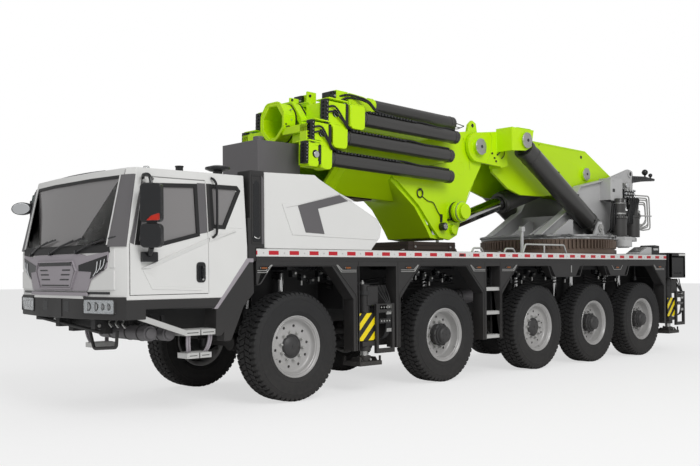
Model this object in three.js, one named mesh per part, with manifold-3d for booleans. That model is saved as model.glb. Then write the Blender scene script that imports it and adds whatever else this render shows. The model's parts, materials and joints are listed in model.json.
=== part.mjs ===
// Mobile crane: a five-axle carrier with a low cab and a slewing crane whose inner arm luffs and whose
// outer boom folds and telescopes. Millimetres, +X is the vehicle's left, +Y its rear and +Z up.
// Places along the vehicle are measured from the first axle. The last group moves them so that the
// origin lies at the centre of the bounding box's base.

import * as THREE from 'three';
import { ConvexGeometry } from 'three/addons/geometries/ConvexGeometry.js';
import { mergeVertices } from 'three/addons/utils/BufferGeometryUtils.js';
import Module from 'manifold-3d';

const wasm = await Module();
wasm.setup();
const { Manifold } = wasm;

// ---- driving dimensions ----

const FIRST_AXLE_Y = -3762.5;
const GAP = 0.4;

const AXLE_Y = [0, 2740, 5010, 6650, 8280];
const STEERED = [0, 1, 4];
const PLANETARY = [1, 3, 4];
const TYRE_RADIUS = 668;
const TYRE_HALF_WIDTH = 192;
const RIM_RADIUS = 368;
const RIM_INSIDE = 322;
const TRACK_HALF = 1020;
const WHEEL_SEGMENTS = 24;
const DRUM_RADIUS = 200;
const DRUM_INNER_X = 850;
const KINGPIN_X = 765;
const KINGPIN_RADIUS = 72;
const KINGPIN_HALF = 106;
const FORK_PLATE = 30;
const BEAM_HALF_HEIGHT = 66;

const HALF_WIDTH = 1250;
const RAIL_INNER = 330;
const RAIL_OUTER = 450;
const RAIL_LOW = 900;
const RAIL_TOP = 1640;
const FRONT_RAIL_TOP = 1250;
const FRAME_FRONT = -2150;
const FRAME_STEP = -600;
const BAND_TOP = 1754;
const DECK_TOP = 1850;
const DECK_FRONT = -650;
const DECK_REAR = 9085;
const SKIRT_LOW = 555;
const SKIRT_INNER = 1060;

const OUTRIGGERS = [
  { end: 'front', y: 1330 },
  { end: 'rear', y: 9510 },
];
const OUTRIGGER_BOX_X = 950;
const BEAM_OFFSET_Y = 165;
const BEAM_HALF_Y = 145;
const BEAM_LOW = 1110;
const BEAM_HIGH = 1390;
const BEAM_CLEARANCE = 8;
const HOUSING_WALL = 22;
const JACK_X = 1110;
const JACK_OFFSET_Y = 275;
const JACK_RADIUS = 80;
const JACK_ROD_RADIUS = 52;
const FOOT_LOW = 350;
const FOOT_HIGH = 405;
const FOOT_HALF = 200;

const SLEW_Y = 7030;
const PEDESTAL_RADIUS = 1030;
const RING_RADIUS = 1190;
const RING_TOP = 2108;
const PLATE_TOP = 2180;

const LUFF_PIVOT = [8600, 3150];
const KNUCKLE = [4300, 3540];
const LUFF_FOOT = [7450, 2330];
const LUFF_HEAD = [5160, 3690];
const LUFF_X = 720;
const LUFF_BARREL_RADIUS = 170;
const LUFF_ROD_RADIUS = 100;
const FOLD_REAR = [7650, 3350];
const FOLD_FRONT = [3780, 2200];
const FOLD_BARREL_RADIUS = 185;
const FOLD_ROD_RADIUS = 118;
const FOLD_BARREL_LENGTH = 2150;

const BOOM_TILT = -1.7;
const BOOM_WALL = 16;
const EXTENSION_TUBE_RADIUS = 98;
const HEAD_HALF = 148;
const BOOM_TRUNNION = [3800, 2470];

// The four nested boom sections, largest first: half width, underside, top, mouth and top bevel.
const SECTIONS = {
  base: { half: 500, low: 2590, top: 3800, front: 1290, shoulder: 250 },
  stage_1: { half: 415, low: 3220, top: 3776, front: 1060, shoulder: 250 },
  stage_2: { half: 325, low: 3244, top: 3752, front: 820, shoulder: 220 },
  stage_3: { half: 215, low: 3268, top: 3728, front: 600, shoulder: 120 },
};
const SECTION_REAR = 3700;

// ---- turning three.js geometry into solids ----

function solid(geometry) {
  geometry.deleteAttribute('normal');
  geometry.deleteAttribute('uv');
  const merged = mergeVertices(geometry, 0.01);
  const index = merged.index.array;
  const kept = [];
  for (let i = 0; i < index.length; i += 3) {
    const [a, b, c] = [index[i], index[i + 1], index[i + 2]];
    if (a !== b && b !== c && c !== a) kept.push(a, b, c);
  }
  const mesh = new wasm.Mesh({
    numProp: 3,
    vertProperties: new Float32Array(merged.attributes.position.array),
    triVerts: new Uint32Array(kept),
  });
  return new Manifold(mesh);
}

function box(x, y, z) {
  const geometry = new THREE.BoxGeometry(x[1] - x[0], y[1] - y[0], z[1] - z[0]);
  geometry.translate((x[0] + x[1]) / 2, (y[0] + y[1]) / 2, (z[0] + z[1]) / 2);
  return solid(geometry);
}

function extruded(points, depth) {
  const shape = new THREE.Shape(points.map(([a, b]) => new THREE.Vector2(a, b)));
  return new THREE.ExtrudeGeometry(shape, { depth, bevelEnabled: false });
}

const AXIS_X = new THREE.Vector3(1, 0, 0);
const AXIS_Y = new THREE.Vector3(0, 1, 0);
const AXIS_Z = new THREE.Vector3(0, 0, 1);

// A side outline of [y, z] points, given thickness along X.
function sidePlate(points, x) {
  const geometry = extruded(points, x[1] - x[0]);
  geometry.applyMatrix4(new THREE.Matrix4().makeBasis(AXIS_Y, AXIS_Z, AXIS_X));
  geometry.translate(x[0], 0, 0);
  return solid(geometry);
}

// A front outline of [x, z] points, given length along Y.
function frontPrism(points, y) {
  const geometry = extruded(points, y[1] - y[0]);
  geometry.applyMatrix4(new THREE.Matrix4().makeBasis(AXIS_X, AXIS_Z, AXIS_Y.clone().negate()));
  geometry.translate(0, y[1], 0);
  return solid(geometry);
}

// A plan outline of [x, y] points, given height along Z.
function planPrism(points, z) {
  const geometry = extruded(points, z[1] - z[0]);
  geometry.translate(0, 0, z[0]);
  return solid(geometry);
}

function rod(from, to, radius, segments = 16) {
  const start = new THREE.Vector3(...from);
  const end = new THREE.Vector3(...to);
  const along = end.clone().sub(start);
  const geometry = new THREE.CylinderGeometry(radius, radius, along.length(), segments);
  const turn = new THREE.Quaternion().setFromUnitVectors(AXIS_Y, along.clone().normalize());
  geometry.applyQuaternion(turn);
  geometry.translate(...start.add(end).multiplyScalar(0.5));
  return solid(geometry);
}

function crossPin(x, [y, z], radius, segments = 16) {
  return rod([x[0], y, z], [x[1], y, z], radius, segments);
}

function joined(...pieces) {
  return Manifold.union(pieces);
}

function mirrored(piece) {
  return piece.mirror([1, 0, 0]);
}

function bothSides(piece) {
  return joined(piece, mirrored(piece));
}

function onSide(piece, side) {
  return side === 'left' ? piece : mirrored(piece);
}

// The point a distance along the line from one [y, z] place to another.
function along(from, to, distance) {
  const length = Math.hypot(to[0] - from[0], to[1] - from[1]);
  return from.map((value, i) => value + ((to[i] - value) * distance) / length);
}

// ---- the scene graph ----

const crane = new THREE.Group();
const placed = new THREE.Group();
placed.position.y = FIRST_AXLE_Y;
crane.add(placed);

const FINISH = {
  cabWhite: { color: 0xcfcfcd, roughness: 0.35, metalness: 0.1 },
  darkTrim: { color: 0x3a3939, roughness: 0.6, metalness: 0.1 },
  tankGrey: { color: 0x5f5d5f, roughness: 0.5, metalness: 0.1 },
  frameGrey: { color: 0x2b2b2c, roughness: 0.6, metalness: 0.2 },
  craneGreen: { color: 0xbfe60a, roughness: 0.35, metalness: 0.05 },
  turntableGrey: { color: 0xa9a9a9, roughness: 0.4, metalness: 0.1 },
  gearSteel: { color: 0x5a4d44, roughness: 0.5, metalness: 0.7 },
  cylinderDark: { color: 0x3b3a39, roughness: 0.35, metalness: 0.2 },
  chrome: { color: 0xd8d8d8, roughness: 0.12, metalness: 1.0 },
  rubber: { color: 0x1f1f20, roughness: 0.85, metalness: 0.0 },
  glass: { color: 0x55585c, roughness: 0.1, metalness: 0.0 },
  seatFabric: { color: 0x303236, roughness: 0.9, metalness: 0.0 },
  castIron: { color: 0x4b4b4a, roughness: 0.6, metalness: 0.6 },
  jackSteel: { color: 0xb8b8b8, roughness: 0.35, metalness: 0.6 },
};

function add(name, piece, finish) {
  const { vertProperties, triVerts } = piece.getMesh();
  const indexed = new THREE.BufferGeometry();
  indexed.setAttribute('position', new THREE.BufferAttribute(new Float32Array(vertProperties), 3));
  indexed.setIndex(new THREE.BufferAttribute(new Uint32Array(triVerts), 1));
  const geometry = indexed.toNonIndexed();
  geometry.computeVertexNormals();
  const mesh = new THREE.Mesh(geometry, new THREE.MeshStandardMaterial(FINISH[finish]));
  mesh.name = name;
  placed.add(mesh);
}

// ---- running gear ----

// The wheel's half section as [radius, distance outward from the tyre's centre plane].
function wheelProfile(planetary) {
  const flange = TYRE_HALF_WIDTH - 27;
  const discFace = planetary ? 10 : 62;
  const hub = planetary
    ? [[0, 212], [100, 205], [126, 150], [168, 140], [172, discFace]]
    : [[0, 116], [90, 110], [122, discFace]];
  const outerRim = [
    [RIM_RADIUS - 60, discFace],
    [RIM_RADIUS - 22, flange],
    [RIM_RADIUS + 6, flange],
  ];
  const outerTyre = [
    [500, TYRE_HALF_WIDTH],
    [636, TYRE_HALF_WIDTH - 16],
    [TYRE_RADIUS, TYRE_HALF_WIDTH - 52],
  ];
  const tyre = outerTyre.concat(outerTyre.map(([r, a]) => [r, -a]).reverse());
  const innerRim = [
    [RIM_RADIUS, -flange],
    [RIM_INSIDE, -flange + 50],
    [RIM_INSIDE, discFace - 38],
    [0, discFace - 38],
  ];
  return hub.concat(outerRim, tyre, innerRim);
}

function wheel(y, planetary) {
  const points = wheelProfile(planetary).map(([r, a]) => new THREE.Vector2(r, a));
  const geometry = new THREE.LatheGeometry(points.reverse(), WHEEL_SEGMENTS);
  geometry.rotateZ(-Math.PI / 2);
  geometry.translate(TRACK_HALF, y, TYRE_RADIUS);
  return solid(geometry);
}

function drumOuterX(planetary) {
  return TRACK_HALF + (planetary ? -32 : 20);
}

function drum(y, planetary) {
  return rod([DRUM_INNER_X, y, TYRE_RADIUS], [drumOuterX(planetary), y, TYRE_RADIUS], DRUM_RADIUS, 16);
}

function knuckle(y, planetary) {
  const z = TYRE_RADIUS;
  return joined(
    rod([KINGPIN_X, y, z - KINGPIN_HALF], [KINGPIN_X, y, z + KINGPIN_HALF], KINGPIN_RADIUS),
    rod([KINGPIN_X, y, z], [DRUM_INNER_X + 10, y, z], 66),
    drum(y, planetary),
  );
}

function fork(y, zLow) {
  const zHigh = zLow + FORK_PLATE;
  return joined(
    box([560, KINGPIN_X], [y - KINGPIN_RADIUS, y + KINGPIN_RADIUS], [zLow, zHigh]),
    rod([KINGPIN_X, y, zLow], [KINGPIN_X, y, zHigh], KINGPIN_RADIUS),
  );
}

function axle(y, steered, planetary) {
  const z = TYRE_RADIUS;
  const beamEnd = steered ? 640 : DRUM_INNER_X + 10;
  const half = [
    box([-10, beamEnd], [y - 66, y + 66], [z - BEAM_HALF_HEIGHT, z + BEAM_HALF_HEIGHT]),
    box([RAIL_INNER + 12, RAIL_OUTER - 12], [y - 85, y + 85], [z, RAIL_LOW - GAP]),
  ];
  if (steered) {
    const reach = KINGPIN_HALF + 2;
    half.push(fork(y, z + reach));
    half.push(fork(y, z - reach - FORK_PLATE));
    half.push(box([560, 660], [y - 72, y + 72], [z - reach - FORK_PLATE, z + reach + FORK_PLATE]));
  } else {
    half.push(drum(y, planetary));
  }
  const centre = rod([0, y - 150, z], [0, y + 150, z], planetary ? 205 : 110, 16);
  return joined(bothSides(joined(...half)), centre);
}

function buildRunningGear() {
  AXLE_Y.forEach((y, i) => {
    const steered = STEERED.includes(i);
    const planetary = PLANETARY.includes(i);
    add(`axle_${i + 1}`, axle(y, steered, planetary), 'frameGrey');
    for (const side of ['left', 'right']) {
      if (steered) add(`knuckle_${i + 1}_${side}`, onSide(knuckle(y, planetary), side), 'castIron');
      add(`wheel_${i + 1}_${side}`, onSide(wheel(y, planetary), side), 'rubber');
    }
  });
}

// ---- chassis, deck and side skirts ----

function outriggerChannel(y) {
  const low = BEAM_LOW - BEAM_CLEARANCE;
  const high = BEAM_HIGH + BEAM_CLEARANCE;
  const half = BEAM_HALF_Y + BEAM_CLEARANCE;
  return box([-OUTRIGGER_BOX_X - 100, OUTRIGGER_BOX_X + 100], [y - half, y + half], [low, high]);
}

function outriggerHousing(y) {
  const half = BEAM_OFFSET_Y + BEAM_HALF_Y + BEAM_CLEARANCE + HOUSING_WALL;
  const low = BEAM_LOW - BEAM_CLEARANCE - HOUSING_WALL;
  const high = BEAM_HIGH + BEAM_CLEARANCE + HOUSING_WALL;
  return box([-OUTRIGGER_BOX_X, OUTRIGGER_BOX_X], [y - half, y + half], [low, high]);
}

function chassis() {
  const rail = sidePlate(
    [
      [FRAME_FRONT, RAIL_LOW],
      [9200, RAIL_LOW],
      [9200, RAIL_TOP],
      [FRAME_STEP + 350, RAIL_TOP],
      [FRAME_STEP, FRONT_RAIL_TOP],
      [FRAME_FRONT, FRONT_RAIL_TOP],
    ],
    [RAIL_INNER, RAIL_OUTER],
  );
  const crossY = [FRAME_FRONT + 60, -900, 600, 2200, 3900, 5800, 7500, 8900];
  const crossMembers = crossY.map((y) =>
    box([-RAIL_INNER - 10, RAIL_INNER + 10], [y - 50, y + 50], [RAIL_LOW + 60, FRONT_RAIL_TOP - 60]),
  );
  const pedestal = rod([0, SLEW_Y, RAIL_TOP - 60], [0, SLEW_Y, DECK_TOP + 18], PEDESTAL_RADIUS, 32);
  const pedestalHole = rod([0, SLEW_Y, 1300], [0, SLEW_Y, 2000], PEDESTAL_RADIUS - 180, 16);
  const pedestalWebs = [-1, 1].map((end) =>
    box([-460, 460], [SLEW_Y + end * 900 - 50, SLEW_Y + end * 900 + 50], [RAIL_TOP - 120, RAIL_TOP]),
  );
  const rearBlock = box([-HALF_WIDTH, HALF_WIDTH], [9190, 9860], [1410, 1890]);
  const bodies = joined(
    bothSides(rail),
    ...crossMembers,
    pedestal.subtract(pedestalHole),
    ...pedestalWebs,
    rearBlock,
    ...OUTRIGGERS.map(({ y }) => outriggerHousing(y)),
  );
  const channels = OUTRIGGERS.flatMap(({ y }) => [
    outriggerChannel(y - BEAM_OFFSET_Y),
    outriggerChannel(y + BEAM_OFFSET_Y),
  ]);
  return bodies.subtract(joined(...channels));
}

function deck() {
  const plate = box([-HALF_WIDTH, HALF_WIDTH], [DECK_FRONT, DECK_REAR], [BAND_TOP, DECK_TOP]);
  return plate.subtract(rod([0, SLEW_Y, 1500], [0, SLEW_Y, 2100], PEDESTAL_RADIUS + 12, 32));
}

// The underside of the hanging panels between the wheel arches, front to rear, as [y, z] outlines.
function skirtPanels() {
  const top = RAIL_TOP;
  return [
    [[-630, 1420], [-560, top]],
    [[535, top], [902, 1218], [902, SKIRT_LOW], [975, SKIRT_LOW], [975, top]],
    [[1690, top], [1690, SKIRT_LOW], [1773, SKIRT_LOW], [1773, 1206], [2159, top]],
    [[3153, top], [3540, 1246], [3540, SKIRT_LOW], [3626, SKIRT_LOW], [3626, top]],
    [[3948, top], [3948, SKIRT_LOW], [3998, SKIRT_LOW], [3998, 1214], [4392, top]],
    [[5292, top], [5422, 1462], [6001, 1462], [6136, top]],
    [[6984, top], [7106, 1470], [7566, 1470], [7676, top]],
    [[8612, top], [9012, 1277], [9012, SKIRT_LOW], [9070, SKIRT_LOW], [9070, top]],
  ];
}

function skirt() {
  const top = BAND_TOP - GAP;
  const outline = [
    [DECK_FRONT, top],
    [DECK_FRONT, 1420],
    ...skirtPanels().flat(),
    [DECK_REAR, RAIL_TOP],
    [DECK_REAR, top],
  ];
  const panels = sidePlate(outline, [SKIRT_INNER, HALF_WIDTH]);
  const treads = [565, 918, 1273].map((z) => box([SKIRT_INNER + 30, 1235], [3600, 3960], [z, z + 50]));
  return joined(panels, ...treads);
}

function buildCarrier() {
  add('chassis_frame', chassis(), 'frameGrey');
  add('deck', deck(), 'darkTrim');
  add('skirt_left', skirt(), 'darkTrim');
  add('skirt_right', mirrored(skirt()), 'darkTrim');
  add('boom_rest', box([-480, 480], [2760, 3840], [DECK_TOP + GAP, 2018]), 'rubber');
}

// ---- outriggers ----

// The left beam lies behind the middle of its box and the right one ahead of it.
function outriggerBeam(y) {
  const beamY = y + BEAM_OFFSET_Y;
  const jackY = beamY - JACK_OFFSET_Y;
  const beam = box([-900, 1100], [beamY - BEAM_HALF_Y, beamY + BEAM_HALF_Y], [BEAM_LOW, BEAM_HIGH]);
  const endWindow = box([1150, 1300], [beamY - 128, beamY + 128], [560, 1030]);
  const endFrame = box([1190, 1240], [beamY - 172, beamY + 172], [500, 1150]).subtract(endWindow);
  const bracket = box([JACK_X - 50, 1200], [jackY - 20, beamY - 100], [1130, 1380]);
  const barrel = rod([JACK_X, jackY, 560], [JACK_X, jackY, 1400], JACK_RADIUS, 16);
  const bore = rod([JACK_X, jackY, 500], [JACK_X, jackY, 1340], JACK_ROD_RADIUS + 4, 20);
  return joined(beam, endFrame, bracket, barrel).subtract(bore);
}

function outriggerJack(y) {
  const jackY = y + BEAM_OFFSET_Y - JACK_OFFSET_Y;
  const foot = box(
    [JACK_X - FOOT_HALF, JACK_X + 130],
    [jackY - FOOT_HALF, jackY + FOOT_HALF],
    [FOOT_LOW, FOOT_HIGH],
  );
  return joined(
    foot,
    rod([JACK_X, jackY, FOOT_HIGH - 10], [JACK_X, jackY, FOOT_HIGH + 70], 78, 20),
    rod([JACK_X, jackY, FOOT_HIGH], [JACK_X, jackY, 1330], JACK_ROD_RADIUS, 20),
  );
}

// The right-hand one is the left-hand one turned half a turn about the box's middle.
function outriggerOnSide(piece, y, side) {
  if (side === 'left') return piece;
  return piece.translate([0, -y, 0]).rotate([0, 0, 180]).translate([0, y, 0]);
}

function buildOutriggers() {
  for (const { end, y } of OUTRIGGERS) {
    for (const side of ['left', 'right']) {
      add(`outrigger_beam_${end}_${side}`, outriggerOnSide(outriggerBeam(y), y, side), 'darkTrim');
      add(`outrigger_jack_${end}_${side}`, outriggerOnSide(outriggerJack(y), y, side), 'jackSteel');
    }
  }
}

// ---- cab ----

const CAB_FLOOR = 1290;
const CAB_BELT = 1860;
const CAB_ROOF = 2690;
const CAB_REAR = -775;
const CAB_WALL = 45;
const DOOR = { front: -2292, rear: -1310, low: 1340, high: 2600 };
const DOOR_GAP = 6;

// A closed cab-shaped solid, drawn in by the same distance all round.
function cabBlock(inset) {
  const half = HALF_WIDTH - inset;
  const rear = CAB_REAR - inset;
  const slice = (z, corner, shoulder, centre, width) => [
    [-width, rear, z], [width, rear, z],
    [-width, corner + inset, z], [width, corner + inset, z],
    [-width + 110, shoulder + inset, z], [width - 110, shoulder + inset, z],
    [-450, centre + inset, z], [450, centre + inset, z],
  ];
  const points = [
    ...slice(CAB_FLOOR + inset, -2320, -2395, -2500, half),
    ...slice(CAB_BELT, -2320, -2400, -2500, half),
    ...slice(CAB_ROOF - inset, -2170, -2225, -2285, half - 65),
  ];
  return solid(new ConvexGeometry(points.map((point) => new THREE.Vector3(...point))));
}

// The door's front edge leans back with the windscreen pillar above the belt line.
function doorOpening(shrink) {
  const outline = [
    [DOOR.front + shrink, DOOR.low + shrink],
    [DOOR.rear - shrink, DOOR.low + shrink],
    [DOOR.rear - shrink, DOOR.high - shrink],
    [DOOR.front + 195 + shrink, DOOR.high - shrink],
    [DOOR.front + shrink, CAB_BELT + 10],
  ];
  return sidePlate(outline, [1120, 1400]);
}

function doorWindow() {
  const outline = [[-2215, 1880], [-2085, 2510], [-1440, 2540], [-1440, 1985], [-1900, 1880]];
  return sidePlate(outline, [900, 1400]);
}

function quarterWindow() {
  return sidePlate([[-1250, 2090], [-1250, 2540], [-900, 2540], [-860, 2090]], [900, 1400]);
}

function windscreenOpening(shrink) {
  const half = 1010 - shrink;
  return box([-half, half], [-2700, -2030], [CAB_BELT + 10 + shrink, 2600 - shrink]);
}

function cabSkin() {
  return cabBlock(0).subtract(cabBlock(CAB_WALL));
}

function cabShell() {
  const openings = bothSides(joined(doorOpening(0), quarterWindow()));
  return cabSkin().subtract(openings).subtract(windscreenOpening(0));
}

function mirrorArm() {
  return joined(
    rod([1225, -2140, 1760], [1420, -2140, 1830], 22, 10),
    rod([1185, -2085, 2550], [1420, -2140, 2535], 20, 10),
    rod([1420, -2140, 1810], [1420, -2140, 2560], 18, 10),
    box([1330, 1530], [-2150, -2060], [2100, 2490]),
    box([1330, 1530], [-2150, -2060], [1850, 2070]),
  );
}

function door() {
  const panel = cabSkin().intersect(doorOpening(DOOR_GAP)).subtract(doorWindow());
  return joined(panel, mirrorArm());
}

function windscreen() {
  return cabBlock(8).subtract(cabBlock(18)).intersect(windscreenOpening(2));
}

function cabInterior() {
  const seat = joined(
    box([330, 780], [-1560, -1080], [1620, 1740]),
    box([340, 770], [-1150, -1000], [1700, 2240]),
    box([430, 680], [-1110, -1030], [2200, 2400]),
    box([430, 680], [-1480, -1120], [1370, 1640]),
  );
  const steering = rod([555, -1960, 1700], [555, -1840, 1900], 30, 12);
  const rim = rod([555, -1846, 1890], [555, -1822, 1930], 215, 20);
  return joined(
    box([-1190, 1190], [-2200, -830], [CAB_FLOOR + CAB_WALL + 1, CAB_FLOOR + CAB_WALL + 40]),
    box([-1130, 1130], [-2240, -1940], [CAB_FLOOR + CAB_WALL + 1, 1790]),
    bothSides(seat),
    steering,
    rim,
  );
}

function frontBumper() {
  const outline = [
    [-1250, -2100], [-1250, -2330], [-1140, -2405], [-450, -2515],
    [450, -2515], [1140, -2405], [1250, -2330], [1250, -2100],
    [1100, -2100], [1100, -2250], [-1100, -2250], [-1100, -2100],
  ];
  const bar = planPrism(outline, [1085, CAB_FLOOR - GAP]);
  const sill = box([1100, HALF_WIDTH], [-2150, -1080], [1190, CAB_FLOOR - GAP]);
  const cornerOutline = [[-1110, CAB_FLOOR - GAP], [-1110, 800], [-1010, 800], [-780, CAB_FLOOR - 1]];
  const corner = sidePlate(cornerOutline, [1100, HALF_WIDTH]);
  const tie = box([-RAIL_OUTER, RAIL_OUTER], [-2260, FRAME_FRONT - GAP], [1085, 1245]);
  return joined(bar, bothSides(joined(sill, corner)), tie);
}

function buildCab() {
  add('cab_shell', cabShell(), 'cabWhite');
  add('windscreen', windscreen(), 'glass');
  add('door_left', door(), 'cabWhite');
  add('door_right', mirrored(door()), 'cabWhite');
  add('cab_interior', cabInterior(), 'seatFabric');
  add('front_bumper', frontBumper(), 'darkTrim');
}

// ---- engine housing and what stands on and beside it ----

const HOOD_HALF = 1240;
const HOOD_WALL = 30;

function hoodOutline(inset) {
  return [
    [-520 + inset, DECK_TOP + GAP - 2 * inset],
    [-520 + inset, 2745 - inset],
    [275, 2765 - inset],
    [335 - inset, 2725 - 1.2 * inset],
    [1350 - inset, 2262 - inset],
    [1435 - inset, 2145],
    [1405 - inset, 2019],
    [1240 - inset, DECK_TOP + GAP - 2 * inset],
  ];
}

function engineHood() {
  const outer = sidePlate(hoodOutline(0), [-HOOD_HALF, HOOD_HALF]);
  const inner = sidePlate(hoodOutline(HOOD_WALL), [-HOOD_HALF + HOOD_WALL, HOOD_HALF - HOOD_WALL]);
  return outer.subtract(inner);
}

function exhaustColumn() {
  const base = box([1000, HALF_WIDTH], [-735, -524], [BAND_TOP + 100, 2755]);
  const foot = box([1000, HALF_WIDTH], [-762, DECK_FRONT - 2], [1700, 2200]);
  return joined(base, foot);
}

function oilTank() {
  return joined(
    box([-380, 400], [37, 746], [2766, 3280]),
    rod([290, 135, 3270], [290, 135, 3335], 70, 20),
  );
}

function buildEngine() {
  add('engine_hood', engineHood(), 'cabWhite');
  add('engine_block', box([-420, 420], [-380, 620], [DECK_TOP + GAP, 2450]), 'castIron');
  add('exhaust_column', exhaustColumn(), 'darkTrim');
  add('oil_tank', oilTank(), 'tankGrey');
}

// ---- turntable ----

function slewRing() {
  const low = DECK_TOP + 18 + GAP;
  const ring = rod([0, SLEW_Y, low], [0, SLEW_Y, RING_TOP], RING_RADIUS, 36);
  return ring.subtract(rod([0, SLEW_Y, 1500], [0, SLEW_Y, 2500], 1000, 16));
}

function turntableCheek() {
  const outline = [
    [5980, PLATE_TOP - 10], [6850, 2640], [7230, 3080], [8050, 3240], [8560, 3390],
    [9020, 3530], [9170, 3500], [9200, 3400], [9160, 3050], [8850, 2700], [8820, PLATE_TOP - 10],
  ];
  return sidePlate(outline, [470, 530]);
}

function luffFootEars() {
  const [y, z] = LUFF_FOOT;
  const ear = [[y - 230, PLATE_TOP - 10], [y - 60, z + 110], [y + 60, z + 110], [y + 170, PLATE_TOP - 10]];
  return joined(
    sidePlate(ear, [LUFF_X - 125, LUFF_X - 88]),
    sidePlate(ear, [LUFF_X + 88, LUFF_X + 125]),
  );
}

function turntable() {
  const low = RING_TOP + 4;
  const disc = rod([0, SLEW_Y, low], [0, SLEW_Y, PLATE_TOP], RING_RADIUS + 10, 36);
  const tailOutline = [[-760, 7400], [760, 7400], [1000, 8300], [760, 8900], [-760, 8900]];
  const tail = planPrism(tailOutline, [low, PLATE_TOP]);
  const rearWeb = box([-500, 500], [8880, 8960], [PLATE_TOP - 10, 2780]);
  const frontWeb = box([-500, 500], [6900, 6960], [PLATE_TOP - 10, 2560]);
  const pivotBosses = bothSides(crossPin([425, 570], LUFF_PIVOT, 150, 16));
  const valveBox = box([520, 760], [7960, 8370], [2870, 3270]);
  const slewDrive = rod([800, 8180, 2010], [800, 8180, 2900], 105, 20);
  const cameraArm = sidePlate([[9100, 3290], [9150, 3400], [10040, 3400], [10040, 3365]], [480, 530]);
  return joined(
    disc,
    tail,
    bothSides(turntableCheek()),
    rearWeb,
    frontWeb,
    pivotBosses,
    bothSides(luffFootEars()),
    valveBox,
    slewDrive,
    cameraArm,
  );
}

// ---- inner arm ----

const ARM_HALF = 400;
const ARM_WALL = 50;

function armOutline() {
  return [
    [4900, 3800], [6055, 3821], [7690, 3782], [8560, 3375], [8780, 3260], [8800, 3020],
    [8600, 2900], [7200, 2960], [6300, 2870], [5654, 2860], [5318, 2952], [4900, 3200],
  ];
}

function armCavity() {
  return [
    [4800, 3750], [6055, 3771], [7650, 3730], [8250, 3450],
    [8250, 2700], [4800, 2700],
  ];
}

// The plates that carry the knuckle pin stand outside the outer boom's plates.
function armHeadPlate() {
  const [y, z] = KNUCKLE;
  const lobe = crossPin([515, 575], KNUCKLE, 235, 20);
  const outline = [[y, z + 235], [5080, 3870], [5080, 3320], [4880, 3270], [y, z - 235]];
  const plate = sidePlate(outline, [515, 575]);
  const cap = crossPin([570, 640], KNUCKLE, 125, 16);
  return joined(lobe, plate, cap);
}

function luffBracket() {
  const [y, z] = LUFF_HEAD;
  const outer = sidePlate(
    [[y - 370, 3880], [y + 230, 3880], [y + 170, 3600], [y + 20, 3530], [y - 370, 3500]],
    [LUFF_X + 125, LUFF_X + 155],
  );
  const cover = box([560, LUFF_X + 155], [y - 370, y + 230], [3852, 3880]);
  const front = box([560, LUFF_X + 155], [y - 370, y - 335], [3500, 3880]);
  const cap = crossPin([LUFF_X + 150, LUFF_X + 185], [y, z], 118, 16);
  return joined(outer, cover, front, cap);
}

function innerArm() {
  const body = sidePlate(armOutline(), [-ARM_HALF, ARM_HALF]);
  const cavity = sidePlate(armCavity(), [-ARM_HALF + ARM_WALL, ARM_HALF - ARM_WALL]);
  const shoulder = sidePlate([[4900, 3800], [5080, 3800], [5080, 3300], [4900, 3250]], [330, 575]);
  const foldPinBoss = crossPin([340, 450], FOLD_REAR, 120, 16);
  const side = joined(shoulder, armHeadPlate(), luffBracket(), foldPinBoss);
  const topTie = box([-575, 575], [4960, 5080], [3790, 3860]);
  return joined(body.subtract(cavity), bothSides(side), topTie);
}

// ---- cylinders ----

function eye(x, centre, radius) {
  return crossPin(x, centre, radius, 16);
}

function luffBarrel() {
  const start = along(LUFF_FOOT, LUFF_HEAD, 60);
  const mouth = along(LUFF_FOOT, LUFF_HEAD, 2470);
  const tube = rod([LUFF_X, ...start], [LUFF_X, ...mouth], LUFF_BARREL_RADIUS, 20);
  const boreStart = along(LUFF_FOOT, LUFF_HEAD, 260);
  const boreEnd = along(LUFF_FOOT, LUFF_HEAD, 2560);
  const bore = rod([LUFF_X, ...boreStart], [LUFF_X, ...boreEnd], LUFF_ROD_RADIUS + 5, 16);
  const trimmed = tube.subtract(earRelief());
  return joined(trimmed, eye([LUFF_X - 82, LUFF_X + 82], LUFF_FOOT, 105)).subtract(bore);
}

// Room for the turntable's ears beside the barrel's foot.
function earRelief() {
  const [y, z] = LUFF_FOOT;
  return joined(
    box([LUFF_X - 200, LUFF_X - 82], [y - 260, y + 260], [z - 260, z + 130]),
    box([LUFF_X + 82, LUFF_X + 200], [y - 260, y + 260], [z - 260, z + 130]),
  );
}

function luffRod() {
  const tail = along(LUFF_FOOT, LUFF_HEAD, 290);
  const shaft = rod([LUFF_X, ...tail], [LUFF_X, ...LUFF_HEAD], LUFF_ROD_RADIUS, 16);
  return joined(shaft, eye([LUFF_X - 100, LUFF_X + 100], LUFF_HEAD, 125));
}

function foldBarrel() {
  const start = along(FOLD_REAR, FOLD_FRONT, 60);
  const mouth = along(FOLD_REAR, FOLD_FRONT, FOLD_BARREL_LENGTH);
  const tube = rod([0, ...start], [0, ...mouth], FOLD_BARREL_RADIUS, 20);
  const boreStart = along(FOLD_REAR, FOLD_FRONT, FOLD_BARREL_LENGTH - 620);
  const boreEnd = along(FOLD_REAR, FOLD_FRONT, FOLD_BARREL_LENGTH + 100);
  const bore = rod([0, ...boreStart], [0, ...boreEnd], FOLD_ROD_RADIUS + 5, 16);
  return joined(tube, eye([-335, 335], FOLD_REAR, 95)).subtract(bore);
}

function foldRod() {
  const tail = along(FOLD_REAR, FOLD_FRONT, FOLD_BARREL_LENGTH - 560);
  const shaft = rod([0, ...tail], [0, ...FOLD_FRONT], FOLD_ROD_RADIUS, 16);
  return joined(shaft, eye([-150, 150], FOLD_FRONT, 120));
}

// ---- outer boom ----

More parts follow.
